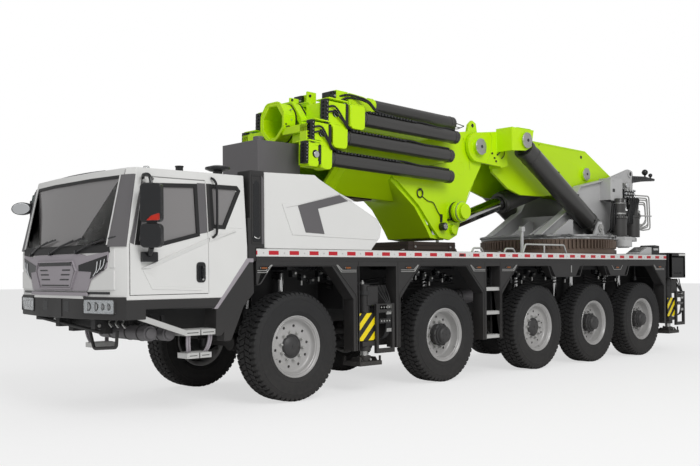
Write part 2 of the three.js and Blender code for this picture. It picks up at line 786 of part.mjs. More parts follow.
// Everything on the boom is drawn level and then tilted with it about the knuckle.
function tilted(piece) {
  const [y, z] = KNUCKLE;
  return piece.translate([0, -y, -z]).rotate([BOOM_TILT, 0, 0]).translate([0, y, z]);
}

function boomOutline(half, low, top, shoulder) {
  const height = top - low;
  const right = [
    [0.3 * half, low],
    [half, low + 0.3 * height],
    [half, top - 1.26 * shoulder],
    [half - shoulder, top],
  ];
  const left = right.map(([x, z]) => [-x, z]).reverse();
  return right.concat(left);
}

function sectionPrism({ half, low, top, shoulder }, y, grow) {
  return frontPrism(boomOutline(half + grow, low - grow, top + grow, shoulder), y);
}

// A boom section: its tube, the frame round its mouth and what is fixed to it, all bored through.
function hollowSection(section, rear, frame, fittings) {
  const { front } = section;
  const tube = sectionPrism(section, [front, rear], 0);
  const mouth = sectionPrism(section, [front, front + frame.length], frame.thick);
  const bore = sectionPrism(section, [front - 400, rear + 400], -BOOM_WALL);
  return joined(tube, mouth, fittings).subtract(bore);
}

// A head block beside the boom with the extension cylinder that hangs behind it.
function headWithTube(x, z, y, tubeEnd) {
  const tubeX = (x[0] + x[1]) / 2 + 6;
  return joined(
    box(x, y, [z - HEAD_HALF, z + HEAD_HALF]),
    rod([tubeX, y[1] - 20, z], [tubeX, tubeEnd, z], EXTENSION_TUBE_RADIUS, 16),
  );
}

function boomSidePlate() {
  return sidePlate(
    [
      [2450, 2880], [2560, 2835], [3000, 2530], [3300, 2225], [3480, 2060], [3720, 2034], [3900, 2120],
      [4060, 2560], [4180, 2800], [4470, 3250], [4570, 3540], [4480, 3740], [4370, 3800],
      [4340, 3930], [4250, 3970], [4170, 3900], [4140, 3780], [3700, 3700], [2450, 3300],
    ],
    [445, 500],
  );
}

// The keel below the boom: a bent front plate between two walls that stand in from the side plates.
function boomLowerWeb() {
  const plate = [
    [2440, 2850], [2960, 2500], [3230, 2190], [3330, 2050], [3640, 2030],
    [3640, 2085], [3380, 2105], [3280, 2230], [3010, 2560], [2480, 2910],
  ];
  return sidePlate(plate, [-450, 450]);
}

function boomBase() {
  const section = SECTIONS.base;
  const trunnion = joined(
    crossPin([495, 700], BOOM_TRUNNION, 150, 20),
    crossPin([695, 760], BOOM_TRUNNION, 115, 20),
  );
  const rodPin = crossPin([440, 560], FOLD_FRONT, 75);
  const headC = headWithTube([555, 745], 3600, [1340, 1600], 3640);
  const bridgeC = box([440, 700], [1380, 1560], [3460, 3570]);
  const headD = box([120, 400], [1400, 1620], [3720, 4013.5]);
  const saddleD = box([180, 430], [1610, 2080], [3720, 3965]);
  const tubeD = rod([330, 2060, 3890], [330, 3920, 3890], 108, 16);
  const fittings = joined(
    bothSides(joined(boomSidePlate(), headC, bridgeC)),
    boomLowerWeb(),
    headD,
    saddleD,
    tubeD,
  );
  const tube = hollowSection(section, SECTION_REAR + 80, { length: 240, thick: 30 }, fittings);
  const rearWall = box([-480, 480], [SECTION_REAR + 50, SECTION_REAR + 100], [2700, 3720]);
  const knuckleTube = crossPin([-500, 500], KNUCKLE, 150, 20);
  return joined(tube, bothSides(joined(trunnion, rodPin)), rearWall, knuckleTube);
}

function boomStage1() {
  const headB = headWithTube([560, 745], 3300, [1030, 1285], 3510);
  const wing = box([300, 700], [1060, 1260], [3240, 3400]);
  const plateC = box([300, 745], [940, 1270], [3440, 3740]);
  const lug = box([115, 150], [1090, 1250], [3740, 3980]);
  const fittings = joined(bothSides(joined(headB, wing, plateC)), lug);
  return hollowSection(SECTIONS.stage_1, SECTION_REAR, { length: 170, thick: 24 }, fittings);
}

// The lowest head hangs outboard, clear of the tank that the boom slides over.
function boomStage2() {
  const headA = headWithTube([560, 745], 2985, [830, 1010], 3510);
  const wing = box([250, 600], [826, 1010], [3250, 3400]);
  const hanger = box([440, 745], [826, 975], [2860, 3330]);
  const plateB = box([300, 745], [700, 965], [3190, 3430]);
  const lug = box([60, 90], [830, 985], [3720, 3860]);
  const fittings = joined(bothSides(joined(headA, wing, hanger, plateB)), lug);
  return hollowSection(SECTIONS.stage_2, SECTION_REAR, { length: 170, thick: 20 }, fittings);
}

function boomStage3() {
  const lug = box([-60, 60], [606, 690], [3700, 3765]);
  return hollowSection(SECTIONS.stage_3, SECTION_REAR, { length: 90, thick: 16 }, lug);
}

function buildCrane() {
  add('slew_ring', slewRing(), 'gearSteel');
  add('turntable', turntable(), 'turntableGrey');
  add('inner_arm', innerArm(), 'craneGreen');
  add('outer_boom', tilted(boomBase()), 'craneGreen');
  add('boom_stage_1', tilted(boomStage1()), 'craneGreen');
  add('boom_stage_2', tilted(boomStage2()), 'craneGreen');
  add('boom_stage_3', tilted(boomStage3()), 'craneGreen');
  for (const side of ['left', 'right']) {
    add(`luff_barrel_${side}`, onSide(luffBarrel(), side), 'cylinderDark');
    add(`luff_rod_${side}`, onSide(luffRod(), side), 'chrome');
  }
  add('fold_barrel', foldBarrel(), 'cylinderDark');
  add('fold_rod', foldRod(), 'chrome');
}

buildCarrier();
buildOutriggers();
buildRunningGear();
buildCab();
buildEngine();
buildCrane();

export default crane;
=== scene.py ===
import json
import math
import random

import bmesh
import bpy
from mathutils import Matrix, Vector


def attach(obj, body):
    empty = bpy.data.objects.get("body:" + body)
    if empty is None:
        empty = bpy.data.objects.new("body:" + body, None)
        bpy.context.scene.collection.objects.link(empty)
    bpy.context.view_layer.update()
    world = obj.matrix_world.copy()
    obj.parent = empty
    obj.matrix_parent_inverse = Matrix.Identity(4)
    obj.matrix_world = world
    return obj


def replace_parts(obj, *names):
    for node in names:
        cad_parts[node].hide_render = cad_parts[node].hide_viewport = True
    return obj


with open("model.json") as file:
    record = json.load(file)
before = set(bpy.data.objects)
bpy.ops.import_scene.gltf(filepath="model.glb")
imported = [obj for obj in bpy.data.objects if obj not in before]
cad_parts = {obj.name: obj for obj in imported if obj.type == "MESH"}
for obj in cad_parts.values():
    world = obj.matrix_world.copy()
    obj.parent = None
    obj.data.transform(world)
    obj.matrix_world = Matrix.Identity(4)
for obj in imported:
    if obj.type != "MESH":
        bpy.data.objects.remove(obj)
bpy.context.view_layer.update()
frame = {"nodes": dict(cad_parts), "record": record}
print("stage: frame loaded")

# Lengths along the vehicle are counted from the first axle, +X is its left and +Z up, in metres.
firstAxleY = -3.7625
axleY = [0.0, 2.74, 5.01, 6.65, 8.28]
steeredAxles = [1, 2, 5]
planetaryAxles = [2, 4, 5]


def bodyOf(node):
    for body, members in frame["record"]["behaviour"]["bodies"].items():
        if node in members:
            return body


# small helpers for meshes

def addBox(bm, low, high, slot=0):
    made = bmesh.ops.create_cube(bm, size=1.0)["verts"]
    bmesh.ops.scale(bm, vec=[h - l for l, h in zip(low, high)], verts=made)
    bmesh.ops.translate(bm, vec=[(h + l) / 2 for l, h in zip(low, high)], verts=made)
    return colourFaces(made, slot)


# The edges or faces that touch some vertices, each once and always in the same order.
def edgesOf(verts):
    return list(dict.fromkeys(e for v in verts for e in v.link_edges))


def facesOf(verts):
    return list(dict.fromkeys(f for v in verts for f in v.link_faces))


def colourFaces(verts, slot):
    for face in facesOf(verts):
        face.material_index = slot
    return verts


def addRod(bm, start, end, radius, slot=0, segments=16, endRadius=None):
    start, end = Vector(start), Vector(end)
    turn = (end - start).to_track_quat("Z", "Y").to_matrix().to_4x4()
    made = bmesh.ops.create_cone(
        bm,
        cap_ends=True,
        segments=segments,
        radius1=radius,
        radius2=radius if endRadius is None else endRadius,
        depth=(end - start).length,
        matrix=Matrix.Translation((start + end) / 2) @ turn,
    )["verts"]
    return colourFaces(made, slot)


# Rods that lie along the width, along the length and upright.
def rodX(bm, x0, x1, y, z, *rest):
    return addRod(bm, (x0, y, z), (x1, y, z), *rest)


def rodY(bm, x, y0, y1, z, *rest):
    return addRod(bm, (x, y0, z), (x, y1, z), *rest)


def rodZ(bm, x, y, z0, z1, *rest):
    return addRod(bm, (x, y, z0), (x, y, z1), *rest)


def oblong(a0, a1, b0, b1):
    return [(a0, b0), (a1, b0), (a1, b1), (a0, b1)]


def addPlate(bm, corners, offset, slot=0):
    face = bm.faces.new([bm.verts.new(c) for c in corners])
    made = bmesh.ops.extrude_face_region(bm, geom=[face])["geom"]
    moved = [v for v in made if isinstance(v, bmesh.types.BMVert)]
    bmesh.ops.translate(bm, vec=offset, verts=moved)
    verts = list(face.verts) + moved if face.is_valid else moved
    bmesh.ops.recalc_face_normals(bm, faces=facesOf(verts))
    return colourFaces(verts, slot)


# An outline of (y, z) places made into a plate between two places across the vehicle.
def addSidePlate(bm, outline, nearX, farX, slot=0):
    return addPlate(bm, [(nearX, y, z) for y, z in outline], (farX - nearX, 0, 0), slot)


def addFrontPlate(bm, outline, nearY, farY, slot=0):
    return addPlate(bm, [(x, nearY, z) for x, z in outline], (0, farY - nearY, 0), slot)


# A tube with round bends that follows the given points.
def addTube(bm, points, radius, slot=0, segments=8, closed=False):
    points = [Vector(p) for p in points]
    rings = []
    side = None
    count = len(points)
    for i, point in enumerate(points):
        before = points[i - 1] if i or closed else point
        after = points[(i + 1) % count] if i < count - 1 or closed else point
        ahead = (after - before).normalized()
        if side is None:
            side = ahead.orthogonal().normalized()
        side = (side - ahead * side.dot(ahead)).normalized()
        basis = Matrix((side, ahead.cross(side), ahead)).transposed().to_4x4()
        ring = bmesh.ops.create_circle(
            bm, segments=segments, radius=radius, matrix=Matrix.Translation(point) @ basis
        )["verts"]
        rings.append(ring)
    pairs = list(zip(rings, rings[1:])) + ([(rings[-1], rings[0])] if closed else [])
    for first, second in pairs:
        edges = [e for ring in (first, second) for e in edgesOf(ring)
                 if all(v in ring for v in e.verts)]
        bmesh.ops.bridge_loops(bm, edges=edges)
    if not closed:
        bmesh.ops.contextual_create(bm, geom=rings[0])
        bmesh.ops.contextual_create(bm, geom=rings[-1])
    verts = [v for ring in rings for v in ring]
    return colourFaces(verts, slot)


# Points on a smooth curve through the given ones.
def smoothPath(points, steps=6):
    points = [Vector(p) for p in points]
    ends = [points[0] * 2 - points[1]] + points + [points[-1] * 2 - points[-2]]
    path = []
    for a, b, c, d in zip(ends, ends[1:], ends[2:], ends[3:]):
        for k in range(steps):
            t = k / steps
            path.append(0.5 * (2 * b + (c - a) * t + (2 * a - 5 * b + 4 * c - d) * t * t
                               + (3 * b - a - 3 * c + d) * t ** 3))
    return path + [points[-1]]


# Corner points rounded off, for bent bars.
def roundedPath(points, radius, steps=4):
    points = [Vector(p) for p in points]
    path = [points[0]]
    for before, corner, after in zip(points, points[1:], points[2:]):
        start = corner + (before - corner).normalized() * radius
        end = corner + (after - corner).normalized() * radius
        for k in range(steps + 1):
            t = k / steps
            path.append(start * (1 - t) ** 2 + corner * 2 * t * (1 - t) + end * t * t)
    return path + [points[-1]]


def softTube(bm, points, radius, *rest):
    return addTube(bm, smoothPath(points), radius, *rest)


def bentTube(bm, points, bend, radius, *rest):
    return addTube(bm, roundedPath(points, bend), radius, *rest)


# A half section of (radius, distance along) places turned about an axis along X.
def addTurned(bm, profile, centre, slot=0, steps=32, closed=True):
    verts = [bm.verts.new((a, 0, r)) for r, a in profile]
    loop = list(zip(verts, verts[1:])) + ([(verts[-1], verts[0])] if closed else [])
    edges = [bm.edges.new(pair) for pair in loop]
    before = set(bm.verts) - set(verts)
    bmesh.ops.spin(bm, geom=verts + edges, cent=(0, 0, 0), axis=(1, 0, 0), dvec=(0, 0, 0),
                   angle=math.tau, steps=steps, use_merge=True)
    made = [v for v in bm.verts if v not in before]
    bmesh.ops.remove_doubles(bm, verts=made, dist=0.00005)
    made = [v for v in bm.verts if v not in before]
    bmesh.ops.translate(bm, vec=centre, verts=made)
    bmesh.ops.recalc_face_normals(bm, faces=facesOf(made))
    return colourFaces(made, slot)


def mirrorAcross(bm):
    bmesh.ops.mirror(bm, geom=bm.verts[:] + bm.edges[:] + bm.faces[:], axis="X", merge_dist=-1)
    bmesh.ops.recalc_face_normals(bm, faces=bm.faces)


def turnOver(bm, side):
    if side == "right":
        bmesh.ops.scale(bm, vec=(-1, 1, 1), verts=bm.verts)
        bmesh.ops.reverse_faces(bm, faces=bm.faces)


def finishDoorPiece(name, side, bm, materials, *rest):
    turnOver(bm, side)
    return finishPiece(name + side.title(), bm, materials, "door_" + side, *rest)


def finishPiece(name, bm, materials, body, bevel=0.0, segments=2, angle=35, fromAxle=True):
    if fromAxle:
        bmesh.ops.translate(bm, vec=(0, firstAxleY, 0), verts=bm.verts)
    mesh = bpy.data.meshes.new(name)
    bm.to_mesh(mesh)
    bm.free()
    for material in materials:
        mesh.materials.append(material)
    piece = bpy.data.objects.new(name, mesh)
    bpy.context.scene.collection.objects.link(piece)
    mesh.shade_smooth()
    mesh.set_sharp_from_angle(angle=math.radians(angle))
    if bevel:
        rounding = piece.modifiers.new("edges", "BEVEL")
        rounding.width = bevel
        rounding.segments = segments
        rounding.limit_method = "ANGLE"
        rounding.angle_limit = math.radians(angle)
        rounding.use_clamp_overlap = False
        rounding.harden_normals = True
    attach(piece, body)
    return piece


def finishPair(name, bm, *rest):
    mirrorAcross(bm)
    return finishPiece(name, bm, *rest)


# Pieces that never move ride the carrier.
def carrierPiece(name, bm, materials, *rest):
    return finishPiece(name, bm, materials, "carrier", *rest)


def carrierPair(name, bm, materials, *rest):
    return finishPair(name, bm, materials, "carrier", *rest)


# A CAD node shown with joined flat faces and rounded edges. The rule picks a material per face.
def refined(node, name, materials, bevel=0.004, segments=2, rule=None, angle=35):
    bm = bmesh.new()
    bm.from_mesh(frame["nodes"][node].data)
    bmesh.ops.remove_doubles(bm, verts=bm.verts, dist=0.0002)
    bmesh.ops.dissolve_limit(bm, angle_limit=math.radians(0.8), verts=bm.verts, edges=bm.edges)
    for face in bm.faces:
        face.material_index = 0
        if rule:
            centre = face.calc_center_median()
            face.material_index = rule(centre - Vector((0, firstAxleY, 0)), face.normal)
    piece = finishPiece(name, bm, materials, bodyOf(node), bevel, segments, angle, fromAxle=False)
    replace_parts(piece, node)
    return piece


# materials

def linear(hexColour):
    parts = [int(hexColour[i:i + 2], 16) / 255 for i in (1, 3, 5)]
    return [c / 12.92 if c <= 0.04045 else ((c + 0.055) / 1.055) ** 2.4 for c in parts] + [1.0]


def addNode(tree, kind, settings=None, links=None):
    node = tree.nodes.new("ShaderNode" + kind)
    for key, value in (settings or {}).items():
        if isinstance(key, int) or key in node.inputs:
            node.inputs[key].default_value = value
        else:
            setattr(node, key, value)
    for key, source in (links or {}).items():
        tree.links.new(source, node.inputs[key])
    return node


def newMaterial(name):
    material = bpy.data.materials.new(name)
    material.use_nodes = True
    tree = material.node_tree
    return material, tree, tree.nodes["Principled BSDF"]


# Colour and gloss vary softly over the surface, and road dust gathers low down.
def surfaced(name, colour, roughness, metallic=0.0, coat=0.0, change=0.05, grainMm=3.0,
             grain=0.05, dust=0.0, specular=0.5):
    material, tree, shader = newMaterial(name)
    shader.inputs["Metallic"].default_value = metallic
    shader.inputs["Coat Weight"].default_value = coat
    shader.inputs["Coat Roughness"].default_value = 0.08
    shader.inputs["Specular IOR Level"].default_value = specular
    spot = addNode(tree, "TexCoord").outputs["Object"]
    clouds = addNode(tree, "TexNoise", {"Scale": 1.7, "Detail": 5.0}, {"Vector": spot})
    tone = addNode(tree, "MapRange", {"From Min": 0.3, "From Max": 0.7, "To Min": 1.0 - change,
        "To Max": 1.0 + change}, {"Value": clouds.outputs["Fac"]})
    base = addNode(tree, "Mix", {"data_type": "RGBA", "blend_type": "MULTIPLY",
                   "Factor": 1.0, 6: linear(colour)}, {7: tone.outputs["Result"]})
    height = addNode(tree, "SeparateXYZ", None, {"Vector": spot})
    low = addNode(tree, "MapRange", {"From Min": 0.0, "From Max": 1.1, "To Min": dust,
                  "To Max": 0.0}, {"Value": height.outputs["Z"]})
    speckle = addNode(tree, "TexNoise", {"Scale": 22.0, "Detail": 6.0}, {"Vector": spot})
    dusty = addNode(tree, "Math", {"operation": "MULTIPLY"},
                    {0: low.outputs["Result"], 1: speckle.outputs["Fac"]})
    mixed = addNode(tree, "Mix", {"data_type": "RGBA", 7: linear("#6f6860")},
                    {"Factor": dusty.outputs["Value"], 6: base.outputs[2]})
    tree.links.new(mixed.outputs[2], shader.inputs["Base Color"])
    gloss = addNode(tree, "MapRange", {"From Min": 0.3, "From Max": 0.7,
                    "To Min": roughness * 0.85, "To Max": min(1.0, roughness * 1.15)},
                    {"Value": clouds.outputs["Fac"]})
    tree.links.new(gloss.outputs["Result"], shader.inputs["Roughness"])
    if grain:
        fine = addNode(tree, "TexNoise", {"Scale": 1000.0 / grainMm, "Detail": 2.0},
                       {"Vector": spot})
        bump = addNode(tree, "Bump", {"Strength": grain, "Distance": 0.001},
                       {"Height": fine.outputs["Fac"]})
        tree.links.new(bump.outputs["Normal"], shader.inputs["Normal"])
    return material


# Two colours in bars: along Y for the edge strip, or slanted for the warning plates.
def barred(name, colours, period, share, slope, roughness, band=None, phase=0.0):
    material, tree, shader = newMaterial(name)
    shader.inputs["Roughness"].default_value = roughness
    spot = addNode(tree, "TexCoord").outputs["Object"]
    parts = addNode(tree, "SeparateXYZ", None, {"Vector": spot})
    raised = addNode(tree, "Math", {"operation": "MULTIPLY", 1: slope},
                     {0: parts.outputs["Z"]})
    sloped = addNode(tree, "Math", {"operation": "ADD"},
                     {0: parts.outputs["Y"], 1: raised.outputs["Value"]})
    shifted = addNode(tree, "Math", {"operation": "ADD", 1: 100.0 * period - phase},
                      {0: sloped.outputs["Value"]})
    turns = addNode(tree, "Math", {"operation": "DIVIDE", 1: period},
                    {0: shifted.outputs["Value"]})
    part = addNode(tree, "Math", {"operation": "FRACT"}, {0: turns.outputs["Value"]})
    chosen = addNode(tree, "Math", {"operation": "LESS_THAN", 1: share},
                     {0: part.outputs["Value"]}).outputs["Value"]
    if band:
        above = addNode(tree, "Math", {"operation": "GREATER_THAN", 1: band[0]},
                        {0: parts.outputs["Z"]})
        below = addNode(tree, "Math", {"operation": "LESS_THAN", 1: band[1]},
                        {0: parts.outputs["Z"]})
        within = addNode(tree, "Math", {"operation": "MULTIPLY"},
                         {0: above.outputs["Value"], 1: below.outputs["Value"]})
        chosen = addNode(tree, "Math", {"operation": "MULTIPLY"},
                         {0: within.outputs["Value"], 1: chosen}).outputs["Value"]
    cells = addNode(tree, "TexVoronoi", {"Scale": 90.0}, {"Vector": spot})
    glint = addNode(tree, "MapRange", {"To Min": 0.86, "To Max": 1.0},
                    {"Value": cells.outputs["Distance"]})
    mixed = addNode(tree, "Mix", {"data_type": "RGBA", 6: linear(colours[0]),
                    7: linear(colours[1])}, {"Factor": chosen})
    lit = addNode(tree, "Mix", {"data_type": "RGBA", "blend_type": "MULTIPLY",
                  "Factor": 1.0}, {6: mixed.outputs[2], 7: glint.outputs["Result"]})
    tree.links.new(lit.outputs[2], shader.inputs["Base Color"])
    return material


def clear(name, colour, roughness, transmission, specular=0.5):
    material, tree, shader = newMaterial(name)
    spot = addNode(tree, "TexCoord").outputs["Object"]
    film = addNode(tree, "TexNoise", {"Scale": 2.2, "Detail": 3.0}, {"Vector": spot})
    haze = addNode(tree, "MapRange", {"To Min": roughness, "To Max": roughness + 0.05},
                   {"Value": film.outputs["Fac"]})
    tree.links.new(haze.outputs["Result"], shader.inputs["Roughness"])
    shader.inputs["Base Color"].default_value = linear(colour)
    shader.inputs["Transmission Weight"].default_value = transmission
    shader.inputs["IOR"].default_value = 1.45
    shader.inputs["Specular IOR Level"].default_value = specular
    return material


# Two-coat enamel on the cab and hood: a smooth pale silver white with a soft clear gloss.
whiteEnamel = surfaced("whiteEnamel", "#dcdcda", 0.34, coat=0.35, change=0.012, grain=0.02,
    dust=0.1)
# The same enamel in lime green on the crane: bright, with faint orange peel.
limeEnamel = surfaced("limeEnamel", "#c3ee00", 0.4, coat=0.08, specular=0.35, change=0.03,
    grain=0.03)
# Textured dark acrylic on the trim and side panels: low gloss, fine grain.
darkAcrylic = surfaced("darkAcrylic", "#2a2929", 0.55, change=0.08, grainMm=4.0, grain=0.12,
    dust=0.25)
# Warm mauve grey moulded plastic on the grille and pillars: satin.
greyMoulding = surfaced("greyMoulding", "#9a949a", 0.42, change=0.03, grainMm=4.0, grain=0.08,
    dust=0.1)
# Dull painted steel of the frame and axles: nearly black.
framePaint = surfaced("framePaint", "#262627", 0.6, change=0.12, grainMm=6.0, grain=0.15, dust=0.5)
# Graphite paint on the tank: satin, even.
graphitePaint = surfaced("graphitePaint", "#5f5d5f", 0.45, change=0.04, grain=0.06)
# Light grey machinery paint on the turntable.
machineGrey = surfaced("machineGrey", "#bababa", 0.42, change=0.06, grain=0.06)
# Charcoal enamel on the cylinders: satin with long soft highlights.
charcoalEnamel = surfaced("charcoalEnamel", "#3d3c3b", 0.36, coat=0.15, change=0.04, grain=0.03)
# Hard chrome on ground piston rods: mirror bright.
hardChrome = surfaced("hardChrome", "#d9d9d9", 0.12, metallic=1.0, change=0.02, grain=0.0)
# Zinc plated steel of pins, brackets and bolts: dull silver.
zincSteel = surfaced("zincSteel", "#bdbdbb", 0.33, metallic=0.85, change=0.08, grainMm=2.0,
    grain=0.1, dust=0.1)
# Bare machined and oiled ring gear steel: brown grey.
oiledSteel = surfaced("oiledSteel", "#6b5c52", 0.45, metallic=0.7, change=0.2, grainMm=5.0,
    grain=0.2)
# Vulcanised tyre rubber: matt black with a grey bloom.
tyreRubber = surfaced("tyreRubber", "#1f1f20", 0.74, change=0.12, grainMm=6.0, grain=0.25,
    dust=0.16)
# Hose and seal rubber: smooth matt black.
sealRubber = surfaced("sealRubber", "#151516", 0.55, change=0.1)
# Wheel enamel: silver grey, satin.
wheelEnamel = surfaced("wheelEnamel", "#b2b1b0", 0.38, metallic=0.15, change=0.06, dust=0.3)
# Cast iron hubs and knuckles under dark paint.
castIron = surfaced("castIron", "#3f3f40", 0.5, metallic=0.3, change=0.15, grainMm=8.0, grain=0.3,
    dust=0.3)
# Glossy black moulded plastic of mirrors, lamps and handles.
blackMoulding = surfaced("blackMoulding", "#1d1e20", 0.28, grain=0.02, dust=0.05)
# Anodised aluminium treads and rails: pale, brushed.
anodisedAluminium = surfaced("anodisedAluminium", "#d0d0ce", 0.32, metallic=0.6, grainMm=1.5,
    grain=0.15, dust=0.1)
# Woven seat cloth: charcoal.
seatCloth = surfaced("seatCloth", "#34363a", 0.9, change=0.1, grainMm=5.0, grain=0.6)
# Cast nylon wear pads: pale tan, waxy.
castNylon = surfaced("castNylon", "#b5a67c", 0.5, change=0.06)
# Hardwood and rubber packing under the boom: dark brown.
oiledHardwood = surfaced("oiledHardwood", "#3b302a", 0.7, change=0.25, grainMm=12.0, grain=0.4)
# Dark green acrylic sheet: glossy, nearly opaque.
bottleAcrylic = surfaced("bottleAcrylic", "#2c3f39", 0.18, dust=0.25)
# Laminated glass with a grey tint.
tintedGlass = clear("tintedGlass", "#8a8888", 0.06, 0.12)
# Clear polycarbonate lamp lens and coloured lenses.
lampLens = clear("lampLens", "#f2f4f5", 0.04, 0.9)
amberLens = clear("amberLens", "#9a5a2c", 0.1, 0.3)
redLens = clear("redLens", "#d8321c", 0.12, 0.25)
# Silvered reflector bowls and mirror glass.
silveredGlass = surfaced("silveredGlass", "#e2e4e6", 0.06, metallic=1.0, change=0.01, grain=0.0)
# Reflective sheeting: white with red blocks along the deck edge.
edgeSheeting = barred("edgeSheeting", ["#dcdcda", "#c01526"], 0.315, 0.47, 0.0, 0.35,
                      band=(1.777, 1.825), phase=0.1775)
# Reflective warning plates: yellow and black slanted bars.
warningSheeting = barred("warningSheeting", ["#1b1b1b", "#ffe500"], 0.19, 0.5, -1.0, 0.35)
print("stage: materials made")

# the CAD solids with their finishes

plainCopies = [
    ("chassis_frame", "chassisFrame", framePaint, 0.006),
    ("boom_rest", "boomRest", oiledHardwood, 0.008),
    ("engine_block", "engineBlock", castIron, 0.01),
    ("exhaust_column", "exhaustColumn", darkAcrylic, 0.012),
    ("oil_tank", "oilTank", graphitePaint, 0.008),
    ("slew_ring", "slewRing", oiledSteel, 0.003),
    ("front_bumper", "frontBumper", darkAcrylic, 0.012),
    ("fold_barrel", "foldBarrel", charcoalEnamel, 0.012),
    ("fold_rod", "foldRod", hardChrome, 0.004),
]


def makeCadCopies():
    for node, name, material, bevel in plainCopies:
        refined(node, name, [material], bevel)
    for i in range(1, 6):
        refined(f"axle_{i}", f"axleBeam{i}", [framePaint], 0.008)
    for side in ("left", "right"):
        for i in steeredAxles:
            refined(f"knuckle_{i}_{side}", f"knuckle{i}{side.title()}", [castIron], 0.005)
        refined(f"luff_barrel_{side}", f"luffBarrel{side.title()}", [charcoalEnamel], 0.012)
        refined(f"luff_rod_{side}", f"luffRod{side.title()}", [hardChrome], 0.004)
        for end in ("front", "rear"):
            where = end.title() + side.title()
            refined(f"outrigger_beam_{end}_{side}", f"outriggerBeam{where}", [darkAcrylic], 0.006)
            refined(f"outrigger_jack_{end}_{side}", f"outriggerJack{where}",
                [zincSteel, framePaint], 0.004, rule=lambda c, n: 1 if c.z < 0.5 else 0)


makeCadCopies()

panelRules = {
    "treadY": (3.59, 3.97),
    "treadHeights": (0.565, 0.918, 1.273),
    "treadThickness": 0.05,
}


def treadRule(centre, normal):
    inY = panelRules["treadY"][0] < centre.y < panelRules["treadY"][1]
    top = panelRules["treadThickness"]
    inZ = any(z - 0.001 <= centre.z <= z + top + 0.001 for z in panelRules["treadHeights"])
    return 1 if inY and inZ else 0


for side in ("left", "right"):
    refined(f"skirt_{side}", f"sidePanels{side.title()}", [darkAcrylic, anodisedAluminium], 0.005,
            rule=treadRule)
refined("deck", "deckPlate", [darkAcrylic], 0.004)
refined("cab_interior", "cabInterior", [seatCloth], 0.02, segments=3)
refined("engine_hood", "engineHood", [whiteEnamel], 0.014, segments=3)
refined("inner_arm", "innerArm", [limeEnamel], 0.006)
refined("cab_shell", "cabShell", [whiteEnamel], 0.012, segments=3)
# The door copies lose the plain mirror heads, which are modelled apart.
for side, way in (("left", 1), ("right", -1)):
    doorCopy = refined(f"door_{side}", f"door{side.title()}", [whiteEnamel], 0.004)
    bm = bmesh.new()
    bm.from_mesh(doorCopy.data)
    cut = bmesh.ops.bisect_plane(bm, geom=bm.verts[:] + bm.edges[:] + bm.faces[:],
        plane_co=(way * 1.262, 0, 0), plane_no=(way, 0, 0), dist=0.0001, clear_outer=True)
    bmesh.ops.holes_fill(bm, edges=[e for e in cut["geom_cut"] if isinstance(e,
        bmesh.types.BMEdge)], sides=0)
    bm.to_mesh(doorCopy.data)
    bm.free()
print("stage: frame dressed")

# wheels

wheel = {
    "radius": 0.668,
    "halfWidth": 0.192,
    "trackHalf": 1.02,
    "treadDepth": 0.019,
    "pitches": 56,
    "turnSteps": 56,
    "rimSteps": 48,
    "boltCount": 10,
    "holeCircle": 0.25,
    "holeRadius": 0.019,
}


def aroundAxle(count, offset=0.0):
    return [math.tau * (k + offset) / count for k in range(count)]


def addTyre(bm):
    half = wheel["halfWidth"]
    floorRadius = wheel["radius"] - wheel["treadDepth"]
    outer = [(0.366, half - 0.046), (0.384, half - 0.026), (0.4, half - 0.018),
        (0.425, half - 0.008), (0.431, half - 0.0035), (0.437, half - 0.006), (0.49, half - 0.001),
        (0.5, half), (0.565, half - 0.0025), (0.57, half), (0.578, half), (0.583, half - 0.005),
        (0.612, half - 0.011), (0.628, half - 0.018), (floorRadius - 0.008, half - 0.026),
        (floorRadius - 0.001, half - 0.045), (floorRadius, 0.06)]
    profile = outer + [(r, -a) for r, a in reversed(outer)]
    addTurned(bm, profile, (0, 0, 0), 0, wheel["turnSteps"])
    top = wheel["radius"]
    pitch = math.tau / wheel["pitches"]
    for turn in aroundAxle(wheel["pitches"]):
        for side in (1, -1):
            shoulder = [(side * 0.098, floorRadius - 0.004), (side * 0.098, top - 0.001),
                        (side * 0.145, top - 0.004), (side * (half - 0.022), top - 0.016),
                        (side * (half - 0.012), top - 0.042), (side * (half - 0.016), top - 0.052)]
            length = 0.62 * pitch * top
            block = addPlate(bm, [(a, -length / 2, r) for a, r in shoulder], (0, length, 0))
            slant(block, side * 0.2)
            spinInto(bm, block, turn + side * pitch / 4)
            middle = addBox(bm, (min(side * 0.008, side * 0.09), -0.4 * pitch * top,
                floorRadius - 0.004), (max(side * 0.008, side * 0.09), 0.4 * pitch * top,
                top - 0.0005))
            slant(middle, -side * 0.32)
            spinInto(bm, middle, turn + side * pitch / 3)


# Shears a tread block so that its edges run at a slant across the tyre.
def slant(verts, amount):
    for v in verts:
        v.co.y += v.co.x * amount


def spinInto(bm, verts, turn):
    bmesh.ops.rotate(bm, cent=(0, 0, 0), matrix=Matrix.Rotation(turn, 3, "X"), verts=verts)


def addRim(bm, disc):
    profile = [(0.368, 0.15), (0.377, 0.158), (0.379, 0.166), (0.374, 0.171), (0.366, 0.169),
        (0.36, 0.158), (0.351, 0.152), (0.346, 0.155), (0.341, 0.15), (0.338, 0.138),
        (0.329, 0.131), (0.325, max(disc + 0.034, 0.1)), (0.318, disc + 0.016),
        (0.306, disc + 0.003), (0.296, disc), (0.268, disc + 0.002), (0.225, disc + 0.002),
        (0.19, disc + 0.006), (0.15, disc + 0.006), (0.15, disc - 0.012), (0.3, disc - 0.012),
        (0.322, disc - 0.03), (0.326, -0.12), (0.345, -0.15), (0.366, -0.166), (0.377, -0.168),
        (0.377, -0.15), (0.352, -0.13), (0.34, -0.1), (0.34, 0.12), (0.352, 0.142)]
    addTurned(bm, profile, (0, 0, 0), 0, wheel["rimSteps"])


